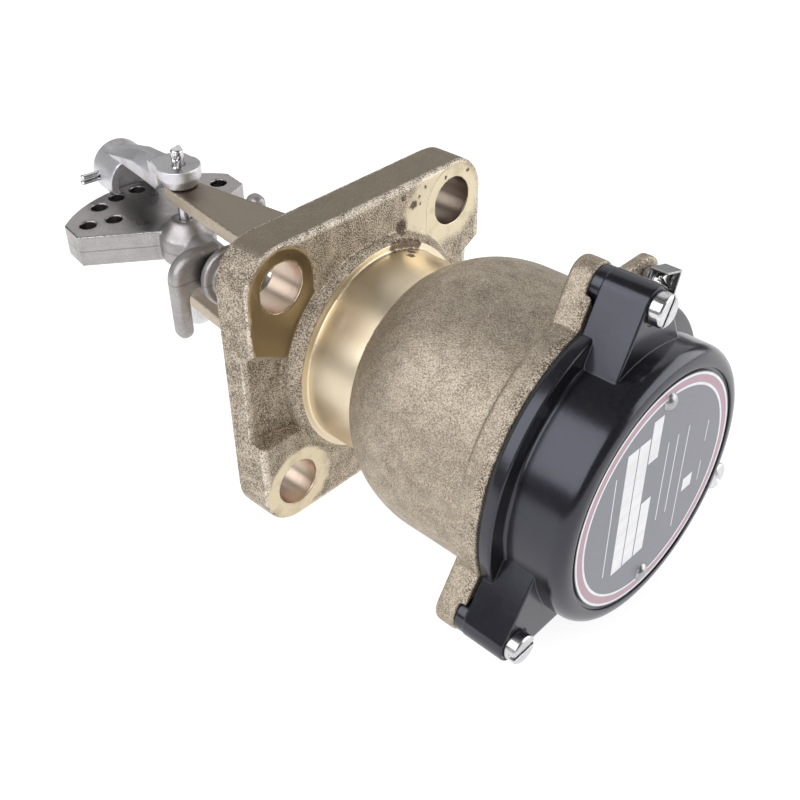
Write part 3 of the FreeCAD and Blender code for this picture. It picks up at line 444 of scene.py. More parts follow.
class CastingZones:
    """Masks of the machined and cast faces of the body casting."""

    def __init__(self, f, s):
        soft = 0.12 * MM
        square = (0.80, 0.95)
        vector, x, y, z = f.place()
        facing = f.facing()
        radius = f.distance(y, z)
        breadth = f.math("ABSOLUTE", y)
        height = f.math("ABSOLUTE", z)
        side = f.math("SUBTRACT", breadth, BOLT_HALF)
        rise = f.math("SUBTRACT", height, BOLT_HALF)
        upper = f.remap(z, -soft, soft)
        near = f.remap(y, -soft, soft, 1.0, 0.0)

        self.vector = vector
        self.far = f.math("SUBTRACT", 1.0, near)
        self.near_upper = f.times(upper, near)
        self.thickness = f.band(x, 0.0, s.flange_face + 1.3 * MM, soft)
        self.flange = f.band(x, 0.5 * MM, s.neck_start, soft)
        self.bowl = f.band(x, s.neck_end + 2.2 * MM, s.bowl_end, 2.0 * MM)
        self.clevis = f.remap(x, -4.0 * MM, -1.0 * MM, 1.0, 0.0)
        self.turned = f.times(f.band(x, s.neck_start - 0.2 * MM, s.neck_end + 0.5 * MM, soft),
                              f.remap(radius, s.lip_radius - soft, s.lip_radius + soft, 1.0, 0.0))

        # The near upper pad runs down to the recess, the far upper one along the top edge
        run = f.math("SUBTRACT", rise, f.clamp(rise, f.times(self.near_upper, -s.pad_run)))
        drift = f.math("SUBTRACT", side, f.clamp(side, f.times(upper, self.far, -s.pad_drift)))
        to_pad = f.math("ADD", f.distance(drift, run), f.sway(vector, 2.6 * MM, 260.0, 3.0))
        fade = f.remap(near, 0.0, 1.0, 2.2 * MM, 0.8 * MM)
        inner, outer = f.math("SUBTRACT", s.pad_radius, fade), f.math("ADD", s.pad_radius, fade)
        self.pad = f.times(f.remap(to_pad, inner, outer, 1.0, 0.0),
                           f.band(x, s.flange_face - 1.6 * MM, s.flange_face + 0.1 * MM, soft),
                           f.remap(radius, s.lip_radius + 1.8 * MM, s.lip_radius + 3.0 * MM),
                           f.remap(facing[0], *square))

        hole = f.distance(side, rise)
        self.drilled = f.times(f.remap(hole, BOLT_HOLE_R + 0.35 * MM, BOLT_HOLE_R + 0.5 * MM, 1.0, 0.0),
                               f.remap(x, s.flange_face + 0.2 * MM, s.flange_face + 0.4 * MM, 1.0, 0.0))
        self.faced = f.times(f.remap(f.math("ABSOLUTE", x), 0.25 * MM, 0.4 * MM, 1.0, 0.0),
                             f.remap(facing[0], -square[1], -square[0], 1.0, 0.0))
        self.milled = f.times(f.remap(height, s.clevis_top - 0.5 * MM, s.clevis_top - 0.25 * MM),
                              f.remap(x, -1.2 * MM, -0.4 * MM, 1.0, 0.0),
                              f.remap(f.math("ABSOLUTE", facing[2]), *square))
        self.bare = f.most(self.turned, self.pad, self.drilled, self.faced)
        self.smooth = f.most(self.bare, f.times(self.milled, 0.9))

        edge = s.flange_half
        # Top face of the flange, which is painted darker as painted shade.
        self.crown = f.times(f.remap(facing[2], 0.80, 0.96), self.flange,
                             f.remap(z, edge - 2.0 * MM, edge - 1.0 * MM))
        # Rounded edges of the flange, which carry the painted highlight.
        self.rim = f.times(f.remap(f.most(breadth, height), edge - 2.4 * MM, edge - 1.2 * MM), self.flange,
                           f.remap(facing[0], 0.10, 0.35))


def oil_stains(f, zone):
    """Mask of the stains and of scattered specks on the flange."""
    specks = f.group(specks_group(), Scale=330.0, Amount=0.46)["Mask"]
    stained = f.times(specks, zone.thickness, 0.8)
    wobble = f.sway(zone.vector, 2.6 * MM, 1300.0, 4.0, 0.7)
    for *place, reach in STAINS:
        ends = {0: zone.vector, 1: tuple(v * MM for v in place)}
        step = f.add("ShaderNodeVectorMath", ends, operation="DISTANCE").outputs["Value"]
        blot = f.remap(f.math("ADD", step, wobble), 0.55 * reach * MM, reach * MM, 1.0, 0.0)
        stained = f.most(stained, blot)
    return stained


def gunmetal(s):
    """Blasted gunmetal with its turned neck, milled pads, drilled holes and oil stains."""
    f = Finish("gunmetal", Metallic=1.0)
    zone = CastingZones(f, s)
    fine = f.group(grit_group(), Scale=2700.0)
    coarse = f.group(grit_group(), Scale=2600.0)
    edges = f.group(edge_group(), Start=0.03, Full=0.12)
    lines = f.group(brushed_group(), Stretch=(5200.0, 5.0, 5.0))

    even = f.math("ADD", f.times(fine["Tone"], 0.70), 0.15)
    grain = f.mix_value(f.remap(coarse["Tone"], 0.08, 0.92), even, zone.bowl)
    grain = f.mix_value(grain, 0.88, f.times(zone.clevis, 0.75))
    # Painted shade: darker grain on the top face of the flange.
    grain = f.mix_value(grain, 0.19, f.times(zone.crown, 0.88))
    cast = f.mix(s.cast_dark, s.cast_light, grain)
    # Convex edges lightened towards bare metal: wear, and painted highlight.
    cast = f.mix(cast, s.turned, f.times(edges["Worn_sheen"], 0.35))
    # Painted shade in the hollow corners.
    cast = f.mix(cast, s.cast_crease_shade, f.times(edges["Crease_shade"], 0.45))
    # Painted highlight on the rounded edges of the flange.
    cast = f.mix(cast, s.rim_glint, f.times(zone.rim, f.remap(fine["Tone"], 0.38, 0.66, 0.0, 0.85)))

    metal = f.mix(s.turned, toned(s.turned, 0.72), f.times(lines["Streak"], 0.08))
    # Far half of each bolt hole's wall is painted darker: painted shade.
    metal = f.mix(metal, f.mix(s.bore, toned(s.bore, 0.42), zone.far), zone.drilled)
    patches = f.remap(f.noise(zone.vector, 160.0, 4.0), 0.45, 0.75, 0.0, 0.35)
    # Near upper pad darkened as painted shade, tarnish in random patches on every pad.
    metal = f.mix(metal, f.mix(s.pad_tone, s.pad_shade_and_tarnish, f.most(zone.near_upper, patches)), zone.pad)
    satin = f.mix(s.satin, toned(s.satin, 1.18), f.noise(zone.vector, 300.0, 4.0, 0.6))
    base = f.mix(f.mix(cast, satin, f.times(zone.milled, 0.9)), metal, zone.bare)
    stained = oil_stains(f, zone)
    strength = f.remap(coarse["Tone"], 0.3, 0.7, 0.94, 0.72)
    f.feed("Base Color", f.mix(base, s.stain, f.times(stained, strength)))

    worked = f.mix_value(f.remap(lines["Streak"], 0.0, 1.0, 0.33, 0.39), 0.27, zone.pad)
    worked = f.mix_value(worked, 0.40, zone.milled)
    rough = f.mix_value(f.remap(grain, 0.0, 1.0, 0.60, 0.50), worked, zone.smooth)
    f.feed("Roughness", f.mix_value(rough, 0.55, stained))
    calm = f.math("ADD", f.times(lines["Lines"], 0.012), 0.5)
    depth = f.remap(f.most(zone.clevis, zone.crown), 0.0, 1.0, 2.2, 0.6)
    rugged = f.mix_value(f.times(coarse["Height"], depth), f.times(fine["Height"], 0.75), zone.bowl)
    f.bump(f.mix_value(rugged, calm, zone.smooth), 0.14 * MM, 0.9)
    return f.material


def satin_paint(s):
    """Satin black paint with a faint orange peel and settled dust."""
    f = Finish("black_paint", Metallic=0.0, Specular_IOR_Level=0.72, Specular_Tint=(0.86, 0.87, 1.0, 1.0))
    vector = f.place()[0]
    grit = f.group(grit_group(), Scale=900.0)
    edges = f.group(edge_group(), Start=0.03, Full=0.12)
    dust = f.group(specks_group(), Scale=300.0, Amount=0.40)["Mask"]
    tone = f.mix(s.paint, toned(s.paint, 1.7), grit["Tone"])
    # Convex edges lightened: wear, and painted highlight.
    tone = f.mix(tone, s.worn_sheen, f.times(edges["Worn_sheen"], 0.25))
    f.feed("Base Color", f.mix(tone, s.dust, f.times(dust, 0.35)))
    f.feed("Roughness", f.mix_value(f.remap(f.noise(vector, 70.0, 4.0), 0.3, 0.7, 0.18, 0.23), 0.7, dust))
    eased_edge = f.add("ShaderNodeBevel", {"Radius": s.edge_ease}, samples=6).outputs["Normal"]
    f.bump(grit["Height"], 0.05 * MM, 0.16, eased_edge)
    return f.material


def gasket_rubber(s):
    f = Finish("gasket", Metallic=0.0)
    grit = f.group(grit_group(), Scale=1100.0)
    f.feed("Base Color", f.mix(s.rubber, s.bloom, grit["Tone"]))
    f.feed("Roughness", f.remap(grit["Tone"], 0.0, 1.0, 0.62, 0.8))
    f.bump(grit["Height"], 0.06 * MM, 0.5)
    return f.material


# Bare fields and rules of the label as (left, right, low, high) and its thin rings as (inside, outside),
# in millimetres from its middle, read along +Z with -Y up
LABEL_FIELDS = (
    (-18.2, 20.6, 11.0, 15.4), (-18.1, 20.6, 6.2, 10.6), (-18.2, -0.4, 1.6, 5.7), (12.2, 25.0, 1.6, 5.7),
    (-9.2, -5.0, -18.4, -14.2))
LABEL_RULES = (
    (-16.0, 16.0, 19.0, 19.35), (-11.6, 14.0, -3.1, -2.75), (-11.6, 14.0, -7.4, -7.05),
    (-20.0, 14.0, -12.3, -11.95), (-10.0, -3.4, -22.2, -21.9), (3.2, 10.0, -22.2, -21.9))
LABEL_RINGS = ((28.95, 29.65), (31.7, 32.35))


def printed_label(s):
    """Grey field with a red border between thin bare rings, bare entry fields and rules, no lettering."""
    f = Finish("label", Metallic=0.0, Coat_Weight=0.15, Coat_Roughness=0.2)
    y, z = f.place()[2:]
    up = f.times(y, -1.0)
    radius = f.distance(y, z)
    soft = 0.06 * MM
    grit = f.group(grit_group(), Scale=2200.0)
    lines = f.group(brushed_group(), Stretch=(200.0, 260.0, 5200.0))
    fields = [f.times(f.band(z, left * MM, right * MM, soft), f.band(up, low * MM, high * MM, soft))
              for left, right, low, high in LABEL_FIELDS + LABEL_RULES]
    rings = [f.band(radius, inside * MM, outside * MM, soft) for inside, outside in LABEL_RINGS]
    bare = f.most(*fields, *rings)
    border = f.band(radius, LABEL_RINGS[0][1] * MM, LABEL_RINGS[1][0] * MM, soft)
    # Outermost ring of the plate, which carries the painted shadow of the gap round it.
    rim = f.remap(radius, LABEL_R - 0.30 * MM, LABEL_R - 0.20 * MM)
    tone = f.mix(f.mix(s.field, toned(s.field, 1.12), grit["Tone"]), s.border, border)
    tone = f.mix(tone, f.mix(s.blank, s.brushed, f.times(lines["Streak"], 0.6)), bare)
    dust = f.group(specks_group(), Scale=520.0, Amount=0.42)["Mask"]
    tone = f.mix(tone, s.dust, f.times(dust, 0.5))
    f.feed("Base Color", f.mix(tone, s.edge, rim))
    f.feed("Roughness", f.mix_value(f.remap(grit["Tone"], 0.0, 1.0, 0.36, 0.46), 0.32, bare))
    height = f.math("ADD", f.times(grit["Height"], 0.25), f.times(f.most(bare, border), -0.5))
    f.bump(height, 0.04 * MM, 0.5)
    return f.material


def worked_steel(name, base, tarnish_and_shade, *, grain, depth, rough, stretch=None, hub_matte=None, level_shade=0.0):
    """Cast, ground or plated steel: grain, tool lines, convex edges lightened for wear and painted highlight,
    hollow corners darkened as painted shade, and a patchy darker film.

    Level faces are painted darker by level_shade, as painted shade. With hub_matte it is a casting on the pivot,
    with a parting line, painted shade in its drilled holes and hollows, and a duller hub.
    """
    f = Finish(name, Metallic=1.0)
    vector, x, y, z = f.place()
    grit = f.group(grit_group(), Scale=grain)
    edges = f.group(edge_group(), Start=0.02, Full=0.10)
    film = f.remap(f.noise(vector, 95.0, 4.0, 0.6), 0.42, 0.72)
    tilt = f.math("ABSOLUTE", f.facing()[2])
    tone = f.mix(base, toned(base, 0.8), grit["Tone"])
    tone = f.mix(tone, tarnish_and_shade, f.times(film, 0.22))
    # Convex edges lightened: wear, and painted highlight.
    tone = f.mix(tone, toned(base, 1.25), f.times(edges["Worn_sheen"], 0.6))
    # Painted shade in the hollow corners.
    tone = f.mix(tone, tarnish_and_shade, f.times(edges["Crease_shade"], 0.55))
    if level_shade:
        # Painted shade on level faces.
        tone = f.mix(tone, tarnish_and_shade, f.remap(tilt, 0.90, 0.98, 0.0, level_shade))
    height = grit["Height"]
    dull = f.remap(film, 0.0, 1.0, rough, rough + 0.10)
    if stretch:
        lines = f.group(brushed_group(), Stretch=stretch)
        tone = f.mix(tone, tarnish_and_shade, f.times(lines["Streak"], 0.16))
        height = f.math("ADD", f.times(height, 0.35), f.times(lines["Lines"], 0.5))
        dull = f.math("ADD", dull, f.times(lines["Streak"], 0.06))
    if hub_matte is not None:
        from_seam = f.math("ABSOLUTE", f.math("ADD", z, f.sway(vector, 0.5 * MM, 160.0)))
        seam = f.times(f.remap(from_seam, 0.10 * MM, 0.32 * MM, 1.0, 0.0), f.remap(tilt, 0.3, 0.6, 1.0, 0.0))
        tone = f.mix(tone, tarnish_and_shade, f.times(seam, 0.7))
        height = f.math("SUBTRACT", height, f.times(seam, 2.0))
        ahead = f.math("SUBTRACT", x, PIVOT.x)
        from_pin = f.distance(ahead, f.math("SUBTRACT", y, PIVOT.y))
        hub = f.most(f.remap(from_pin, 11.0 * MM, 12.5 * MM, 1.0, 0.0), f.remap(ahead, -4.0 * MM, -2.0 * MM))
        dull = f.math("ADD", dull, f.times(hub, hub_matte))
        # Painted shade in drilled holes and other hollows.
        hollows = f.add("ShaderNodeAmbientOcclusion", {"Distance": 6.0 * MM}, samples=4, only_local=True)
        tone = f.mix(tone, toned(tarnish_and_shade, 0.12), f.remap(hollows.outputs["AO"], 0.22, 0.50, 0.9, 0.0))
    f.feed("Base Color", tone)
    f.feed("Roughness", dull)
    f.bump(height, depth, 0.6)
    return f.material


def flecked_moulding(s):
    f = Finish("moulding", Metallic=0.0)
    grit = f.group(grit_group(), Scale=700.0)
    f.feed("Base Color", f.mix(s.moulding, s.moulding_fleck, grit["Tone"]))
    f.feed("Roughness", f.remap(grit["Tone"], 0.0, 1.0, 0.34, 0.5))
    f.bump(grit["Height"], 0.04 * MM, 0.3)
    return f.material


# Mesh building

def place_piece(name, mesh, body, material, slot, *nodes):
    """New object on its CAD body that stands for the nodes."""
    piece = bpy.data.objects.new(name, mesh)
    bpy.context.scene.collection.objects.link(piece)
    mesh.materials.clear()
    mesh.materials.append(material)
    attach(piece, body)
    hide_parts(*nodes)
    return piece


def evaluated_mesh(mesh, name, *modifiers, thinned=None):
    """Mesh after the modifiers, each given as (type, settings).

    A vertex group holds the points to be thinned out.
    """
    holder = bpy.data.objects.new("holder", mesh)
    bpy.context.scene.collection.objects.link(holder)
    if thinned is not None:
        holder.vertex_groups.new(name="thinned").add(thinned.tolist(), 1.0, "REPLACE")
    for kind, settings in modifiers:
        modifier = holder.modifiers.new(kind, kind)
        for key, value in settings.items():
            setattr(modifier, key, value)
    graph = bpy.context.evaluated_depsgraph_get()
    result = bpy.data.meshes.new_from_object(holder.evaluated_get(graph), depsgraph=graph)
    result.name = name
    bpy.data.objects.remove(holder)
    return result


def welded_copy(node):
    """Closed copy of a node's mesh, without its normals."""
    shape = bmesh.new()
    shape.from_mesh(NODES[node].data)
    bmesh.ops.remove_doubles(shape, verts=shape.verts, dist=1e-6)
    mesh = bpy.data.meshes.new(node + "_closed")
    shape.to_mesh(mesh)
    shape.free()
    return mesh


def points_of(mesh):
    points = np.empty(len(mesh.vertices) * 3)
    mesh.vertices.foreach_get("co", points)
    return points.reshape(-1, 3)


def eased(points, links, count, hold):
    """Points drawn towards the mean of their neighbours, less where hold is near 1."""
    one, other = links.T
    ways = np.bincount(links.ravel(), minlength=len(points))
    step = 0.5 * (1.0 - hold)
    for _ in range(count):
        for axis in range(3):
            line = points[:, axis]
            total = np.bincount(one, line[other], len(points)) + np.bincount(other, line[one], len(points))
            points[:, axis] = line + step * (total / ways - line)
    return points


def softened(node, name, grid, count, hold=None, finish=None):
    """Remeshed copy of a node with rounded edges.

    hold(points) gives what stays crisp, finish(points, hold) trues it up.
    """
    exact = bpy.data.objects.new("exact", welded_copy(node))
    bpy.context.scene.collection.objects.link(exact)
    mesh = evaluated_mesh(exact.data, name,
                          ("REMESH", {"mode": "VOXEL", "voxel_size": grid, "use_smooth_shade": True}),
                          ("SHRINKWRAP", {"target": exact}))
    bpy.data.objects.remove(exact)
    points = points_of(mesh)
    links = np.empty(len(mesh.edges) * 2, dtype=np.int64)
    mesh.edges.foreach_get("vertices", links)
    held = hold(points) if hold else np.zeros(len(points))
    points = eased(points, links.reshape(-1, 2), count, held)
    if finish:
        points = finish(points, held)
    mesh.vertices.foreach_set("co", points.ravel())
    mesh.update()
    return mesh


def ring_radius(points):
    return np.hypot(points[:, 1], points[:, 2])


def between(values, low, high):
    return (values > low) & (values < high)


def hole_spokes(points):
    """Axis of the nearest bolt hole and the step from it, both as (y, z)."""
    axis = np.where(points[:, 1:] < 0, -BOLT_HALF, BOLT_HALF)
    return axis, points[:, 1:] - axis


def to_radius(points, chosen, radius):
    """Chosen points set exactly on a turned face about the main axis."""
    scale = radius / ring_radius(points)[chosen]
    points[chosen, 1] *= scale
    points[chosen, 2] *= scale
    return points


def rounded(corners, steps=7):
    """Open line through (u, v, corner radius), with arcs at its corners."""
    line = []
    for i, (u, v, radius) in enumerate(corners):
        corner = Vector((u, v))
        if radius == 0 or i in (0, len(corners) - 1):
            line.append(corner)
            continue
        back = (Vector(corners[i - 1][:2]) - corner).normalized()
        ahead = (Vector(corners[i + 1][:2]) - corner).normalized()
        half = back.angle(ahead) / 2
        middle = (back + ahead).normalized()
        centre = corner + middle * (radius / math.sin(half))
        start = corner + back * (radius / math.tan(half)) - centre
        sweep = start.angle_signed(corner + ahead * (radius / math.tan(half)) - centre)
        for step in range(steps + 1):
            spoke = start.copy()
            spoke.rotate(Matrix.Rotation(-sweep * step / steps, 2))
            line.append(centre + spoke)
    return line


def skinned(rings, cap):
    """Mesh over rings of equal length, each closed on itself.

    Its two ends are closed by cap or drawn to a point.
    """
    shape = bmesh.new()
    rows = [[shape.verts.new(place) for place in ring] for ring in rings]
    for low, high in zip(rows, rows[1:]):
        for i in range(len(low)):
            j = (i + 1) % len(low)
            shape.faces.new((low[i], low[j], high[j], high[i]))
    if cap:
        shape.faces.new(rows[0][::-1])
        shape.faces.new(rows[-1])
    bmesh.ops.remove_doubles(shape, verts=shape.verts, dist=1e-7)
    bmesh.ops.recalc_face_normals(shape, faces=shape.faces)
    for face in shape.faces:
        face.smooth = True
    mesh = bpy.data.meshes.new("skin")
    shape.to_mesh(mesh)
    shape.free()
    return mesh


def turned_mesh(line, count, y=0.0, z=0.0):
    """Solid turned about the main axis, or about a line beside it, from a profile of (x, radius)."""
    turns = [2 * math.pi * i / count for i in range(count)]
    return skinned([[(x, y + r * math.sin(a), z + r * math.cos(a)) for a in turns] for x, r in line], False)


def repeated(mesh, count):
    """Mesh copied round the main axis."""
    shape = bmesh.new()
    for i in range(count):
        one = mesh.copy()
        one.transform(Matrix.Rotation(2 * math.pi * i / count, 4, "X"))
        shape.from_mesh(one)
        bpy.data.meshes.remove(one)
    shape.to_mesh(mesh)
    shape.free()
    return mesh


def combined(name, mesh, *steps):
    """Mesh after union with or cut by others, each given as (operation, mesh), with sharp edges kept."""
    tools = []
    modifiers = []
    for operation, other in steps:
        tool = bpy.data.objects.new("tool", other)
        bpy.context.scene.collection.objects.link(tool)
        tools.append(tool)
        modifiers.append(("BOOLEAN", {"operation": operation, "object": tool, "solver": "EXACT"}))
    result = evaluated_mesh(mesh, name, *modifiers)
    for tool in tools:
        bpy.data.objects.remove(tool)
    result.set_sharp_from_angle(angle=SHARP_ANGLE)
    return result


def wire_mesh(name, route, thickness, flat):
    """Bent wire along a smooth line through the route, drawn out by flat across its bend."""
    curve = bpy.data.curves.new(name, "CURVE")
    curve.dimensions = "3D"
    curve.bevel_depth = thickness
    curve.bevel_resolution = 4
    curve.resolution_u = 8
    curve.use_fill_caps = True
    line = curve.splines.new("NURBS")
    line.points.add(len(route) - 1)
    for point, place in zip(line.points, route):
        point.co = (*place, 1.0)
    line.order_u = 3
    line.use_endpoint_u = True
    holder = bpy.data.objects.new(name, curve)
    bpy.context.scene.collection.objects.link(holder)
    graph = bpy.context.evaluated_depsgraph_get()
    mesh = bpy.data.meshes.new_from_object(holder.evaluated_get(graph), depsgraph=graph)
    bpy.data.objects.remove(holder)
    bpy.data.curves.remove(curve)
    mesh.transform(Matrix.Diagonal((flat, 1.0, 1.0, 1.0)))
    shape = bmesh.new()
    shape.from_mesh(mesh)
    bmesh.ops.remove_doubles(shape, verts=shape.verts, dist=1e-6)
    for face in shape.faces:
        face.smooth = True
    shape.to_mesh(mesh)
    shape.free()
    return mesh


def split_pin_mesh(name, *, hole, grip, tail, spread, eye):
    """Split pin along +Y through the origin, eye on the -Y side: one wire from tail to tail."""
    wire = hole * 0.64
    turn = -grip - eye
    loop = [(0, turn + eye * math.cos(a), eye * math.sin(a)) for a in np.radians(np.linspace(40, 320, 11))]
    near = [(0, grip + tail, wire + spread), (0, grip + tail * 0.55, wire + spread * 0.5),
            (0, grip + 0.2 * tail, wire * 1.2), (0, grip * 0.5, wire), (0, -grip * 0.7, wire)]
    far = [(0, y * 1.02 if y > grip else y, -height) for _, y, height in reversed(near)]
    return wire_mesh(name, near + loop + far, wire, 1.5)


def turned_about_z(mesh, turn, place):
    mesh.transform(Matrix.Translation(place) @ Matrix.Rotation(turn, 4, "Z"))
    return mesh


def repaint(material, slot, *nodes):
    for node in nodes:
        mesh = NODES[node].data
        mesh.materials.clear()
        mesh.materials.append(material)


# Pieces

class LEVELSWITCH_OT_body_casting(bpy.types.Operator):
    """Gunmetal body: cast skin with rounded edges, crisp turned neck and bolt holes"""

    bl_idname = "levelswitch.body_casting"
    bl_label = "Body casting"

    def execute(self, context):
        s = context.scene.levelswitch_casting

        def crisp(points):
            x = points[:, 0]
            hole = np.linalg.norm(hole_spokes(points)[1], axis=1)
            on_neck = np.abs(ring_radius(points) - s.neck_radius) < 0.5 * MM
            neck = between(x, s.neck_start + 0.2 * MM, s.neck_end - 0.1 * MM) & on_neck
            drilled = (hole < BOLT_HOLE_R + 0.8 * MM) & (x < s.flange_face + 0.5 * MM)
            faced = np.abs(x) < 0.3 * MM
            beside = (np.abs(points[:, 1]) > s.recess_inside) & (np.abs(points[:, 2]) < s.recess_half)
            recess = between(x, 2.0 * MM, s.flange_face + 0.2 * MM) & beside
            return np.where(neck | drilled | faced, 0.9, np.where(recess, 0.6, 0.0))

        def trued(points, held):
            x = points[:, 0]
            on_neck = between(ring_radius(points), s.neck_radius - 0.5 * MM, s.lip_radius) & (held > 0.5)
            neck = between(x, s.neck_start + 0.4 * MM, s.neck_end - 0.3 * MM) & on_neck
            points = to_radius(points, neck, s.neck_radius)
            axis, spoke = hole_spokes(points)
            distance = np.linalg.norm(spoke, axis=1)
            wall = self.in_bore(s, points, distance, 0.4 * MM)
            points[wall, 1:] = axis[wall] + spoke[wall] * (BOLT_HOLE_R / distance[wall])[:, None]
            cast = (x > s.neck_end + 0.5 * MM) | ((x > 1.0 * MM) & (held < 0.5))
            for i in np.nonzero(cast)[0]:
                points[i] += np.array(noise.noise_vector(Vector(points[i]) * 85.0)) * s.waviness * 0.6
            return np.clip(points, *np.array(CAD_BOX))

        noise.seed_set(s.seed)
        mesh = softened("body_casting", "casting_skin", s.grid, s.rounding, crisp, trued)
        rough = np.nonzero(crisp(points_of(mesh)) < 0.5)[0]
        thin = ("DECIMATE", {"ratio": s.keep, "vertex_group": "thinned"})
        mesh = evaluated_mesh(mesh, "casting_skin", thin, thinned=rough)
        self.true_normals(s, mesh)
        place_piece("casting_skin", mesh, "housing", gunmetal(s), "gunmetal", "body_casting")
        return {"FINISHED"}

    def in_bore(self, s, points, distance, slack):
        inside = between(points[:, 0], 0.6 * MM, s.flange_face - 1.2 * MM)
        return (np.abs(distance - BOLT_HOLE_R) < slack) & inside

    def true_normals(self, s, mesh):
        """Exact normals on the turned neck and in the bolt holes, the mesh's own elsewhere."""
        points = points_of(mesh)
        normals = np.zeros((len(points), 3))
        radius = ring_radius(points)
        neck = between(points[:, 0], s.neck_start + 0.6 * MM, s.neck_end - 0.3 * MM)
        neck &= np.abs(radius - s.neck_radius) < 0.3 * MM
        normals[neck, 1:] = points[neck, 1:] / radius[neck, None]
        spoke = hole_spokes(points)[1]
        distance = np.linalg.norm(spoke, axis=1)
        wall = self.in_bore(s, points, distance, 0.2 * MM)
        normals[wall, 1:] = -spoke[wall] / distance[wall, None]
        mesh.vertices.foreach_set("co", to_radius(points, neck, s.neck_radius).ravel())
        mesh.update()
        mesh.normals_split_custom_set_from_vertices(normals)


class LEVELSWITCH_OT_cover(bpy.types.Operator):
    """Satin black cover with rounded edges, and its gasket"""

    bl_idname = "levelswitch.cover"
    bl_label = "Cover"

    def execute(self, context):
        s = context.scene.levelswitch_cover
        low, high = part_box("cover")
        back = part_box("cover_gasket")[1].x
        front = high.x
        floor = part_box("label_plate")[0].x
        shell = self.shell(s, back, front, floor)
        lugs = repeated(skinned(self.lug_rings(s, back), True), s.lug_count)
        foot = rounded(((low.x, 0, 0), (low.x, s.foot_radius, 0.4 * MM),
                        (back + MM, s.foot_radius, 0), (back + MM, 0, 0)))
        feet = repeated(turned_mesh(foot, s.foot_sides, 0.0, s.lug_pitch), s.lug_count)
        sunk = s.lug_front - s.seat_depth
        seat = ((sunk, 0), (sunk, s.seat_radius), (s.lug_front + MM, s.seat_radius), (s.lug_front + MM, 0))
        seats = repeated(turned_mesh(seat, s.foot_sides, 0.0, s.lug_pitch), s.lug_count)
        mesh = combined("cover_shell", shell, ("UNION", lugs), ("UNION", feet), ("DIFFERENCE", seats))
        place_piece("cover_shell", mesh, "housing", satin_paint(s), "black_paint", "cover")
        repaint(gasket_rubber(s), "gasket", "cover_gasket")
        return {"FINISHED"}

    def shell(self, s, back, front, floor):
        bed = LABEL_R + s.bed_gap
        step = back + s.base_thickness
        inside = s.drum_radius - s.wall
        profile = rounded((
            (floor, 0, 0), (floor, bed, 0.15 * MM), (front, bed, 0.25 * MM),
            (front, s.drum_radius, s.drum_round), (step, s.drum_radius, s.drum_foot),
            (step, s.base_radius, 0.8 * MM), (back, s.base_radius, 0.4 * MM),
            (back, inside, 0.3 * MM), (floor - s.wall, inside, 1.5 * MM), (floor - s.wall, 0, 0)))
        return turned_mesh(profile, s.drum_sides)

    def lug_rings(self, s, back):
        """Outlines of the upper lug along the main axis, drawn in towards its front edge."""
        steps = [(back, 0.3 * MM), (back + 0.3 * MM, 0.0)]
        for a in np.radians(np.linspace(0, 90, 6)):
            steps.append((s.lug_front - s.lug_edge * (1 - math.sin(a)), s.lug_edge * (1 - math.cos(a))))
        return [[(x, y, z) for y, z in self.lug_outline(s, s.lug_tip - inset)] for x, inset in steps]

    def lug_outline(self, s, tip):
        """Tip circle on the screw and straight flanks down into the wall of the drum."""
        slope = math.tan(s.lug_flare)
        apex = s.lug_pitch + tip / math.sin(s.lug_flare)
        root = s.drum_radius - s.wall / 2
        square = 1 + slope ** 2
        low = (apex * slope ** 2 + math.sqrt(root ** 2 * square - (apex * slope) ** 2)) / square
        spread = math.atan2((apex - low) * slope, low)
        reach = math.pi / 2 - s.lug_flare
        tip_arc = [(tip * math.sin(a), s.lug_pitch + tip * math.cos(a))
                   for a in np.linspace(reach, -reach, 25)]
        root_arc = [(root * math.sin(a), root * math.cos(a)) for a in np.linspace(-spread, spread, 13)]
        return tip_arc + root_arc


class LEVELSWITCH_OT_label(bpy.types.Operator):
    """Blank label plate and its two domed rivets"""

    bl_idname = "levelswitch.label"
    bl_label = "Label and rivets"

    def execute(self, context):
        steel = context.scene.levelswitch_steel
        repaint(printed_label(context.scene.levelswitch_label), "label", "label_plate")
        domes = worked_steel("rivet_steel", toned(steel.plated, 0.6), steel.tarnish_and_shade,
                             grain=2600.0, depth=0.02 * MM, rough=0.30)
        repaint(domes, "plated_steel", "label_rivets")
        return {"FINISHED"}


class LEVELSWITCH_OT_cover_screws(bpy.types.Operator):
    """Slotted cheese head screws of the cover"""

    bl_idname = "levelswitch.cover_screws"
    bl_label = "Cover screws"

    def execute(self, context):
        s = context.scene.levelswitch_steel
        bright = worked_steel("plated_steel", s.plated, s.tarnish_and_shade,
                              grain=2400.0, depth=0.02 * MM, rough=0.17, stretch=(500.0, 5200.0, 5200.0))
        mesh = softened("cover_screws", "slotted_screws", s.fixing_grid, s.turned_rounding)
        place_piece("slotted_screws", mesh, "housing", bright, "plated_steel", "cover_screws")
        return {"FINISHED"}


class LEVELSWITCH_OT_earth_terminal(bpy.types.Operator):
    """Earth terminal: nut, washers, folded clamp and screw"""

    bl_idname = "levelswitch.earth_terminal"
    bl_label = "Earth terminal"

    def execute(self, context):
        s = context.scene.levelswitch_steel
        bright = bpy.data.materials["plated_steel"]
        folded = worked_steel("clamp_steel", toned(s.plated, 0.62), s.tarnish_and_shade,
                              grain=2000.0, depth=0.02 * MM, rough=0.24, stretch=(5200.0, 300.0, 5200.0))
        for node, name, material in (
                ("earth_nut", "terminal_nut", folded), ("earth_washers", "terminal_washers", folded),
                ("earth_clamp", "terminal_clamp", folded), ("earth_screw", "terminal_screw", bright)):
            mesh = softened(node, name, s.fixing_grid, s.terminal_rounding)
            place_piece(name, mesh, "housing", material, "plated_steel", node)
        return {"FINISHED"}


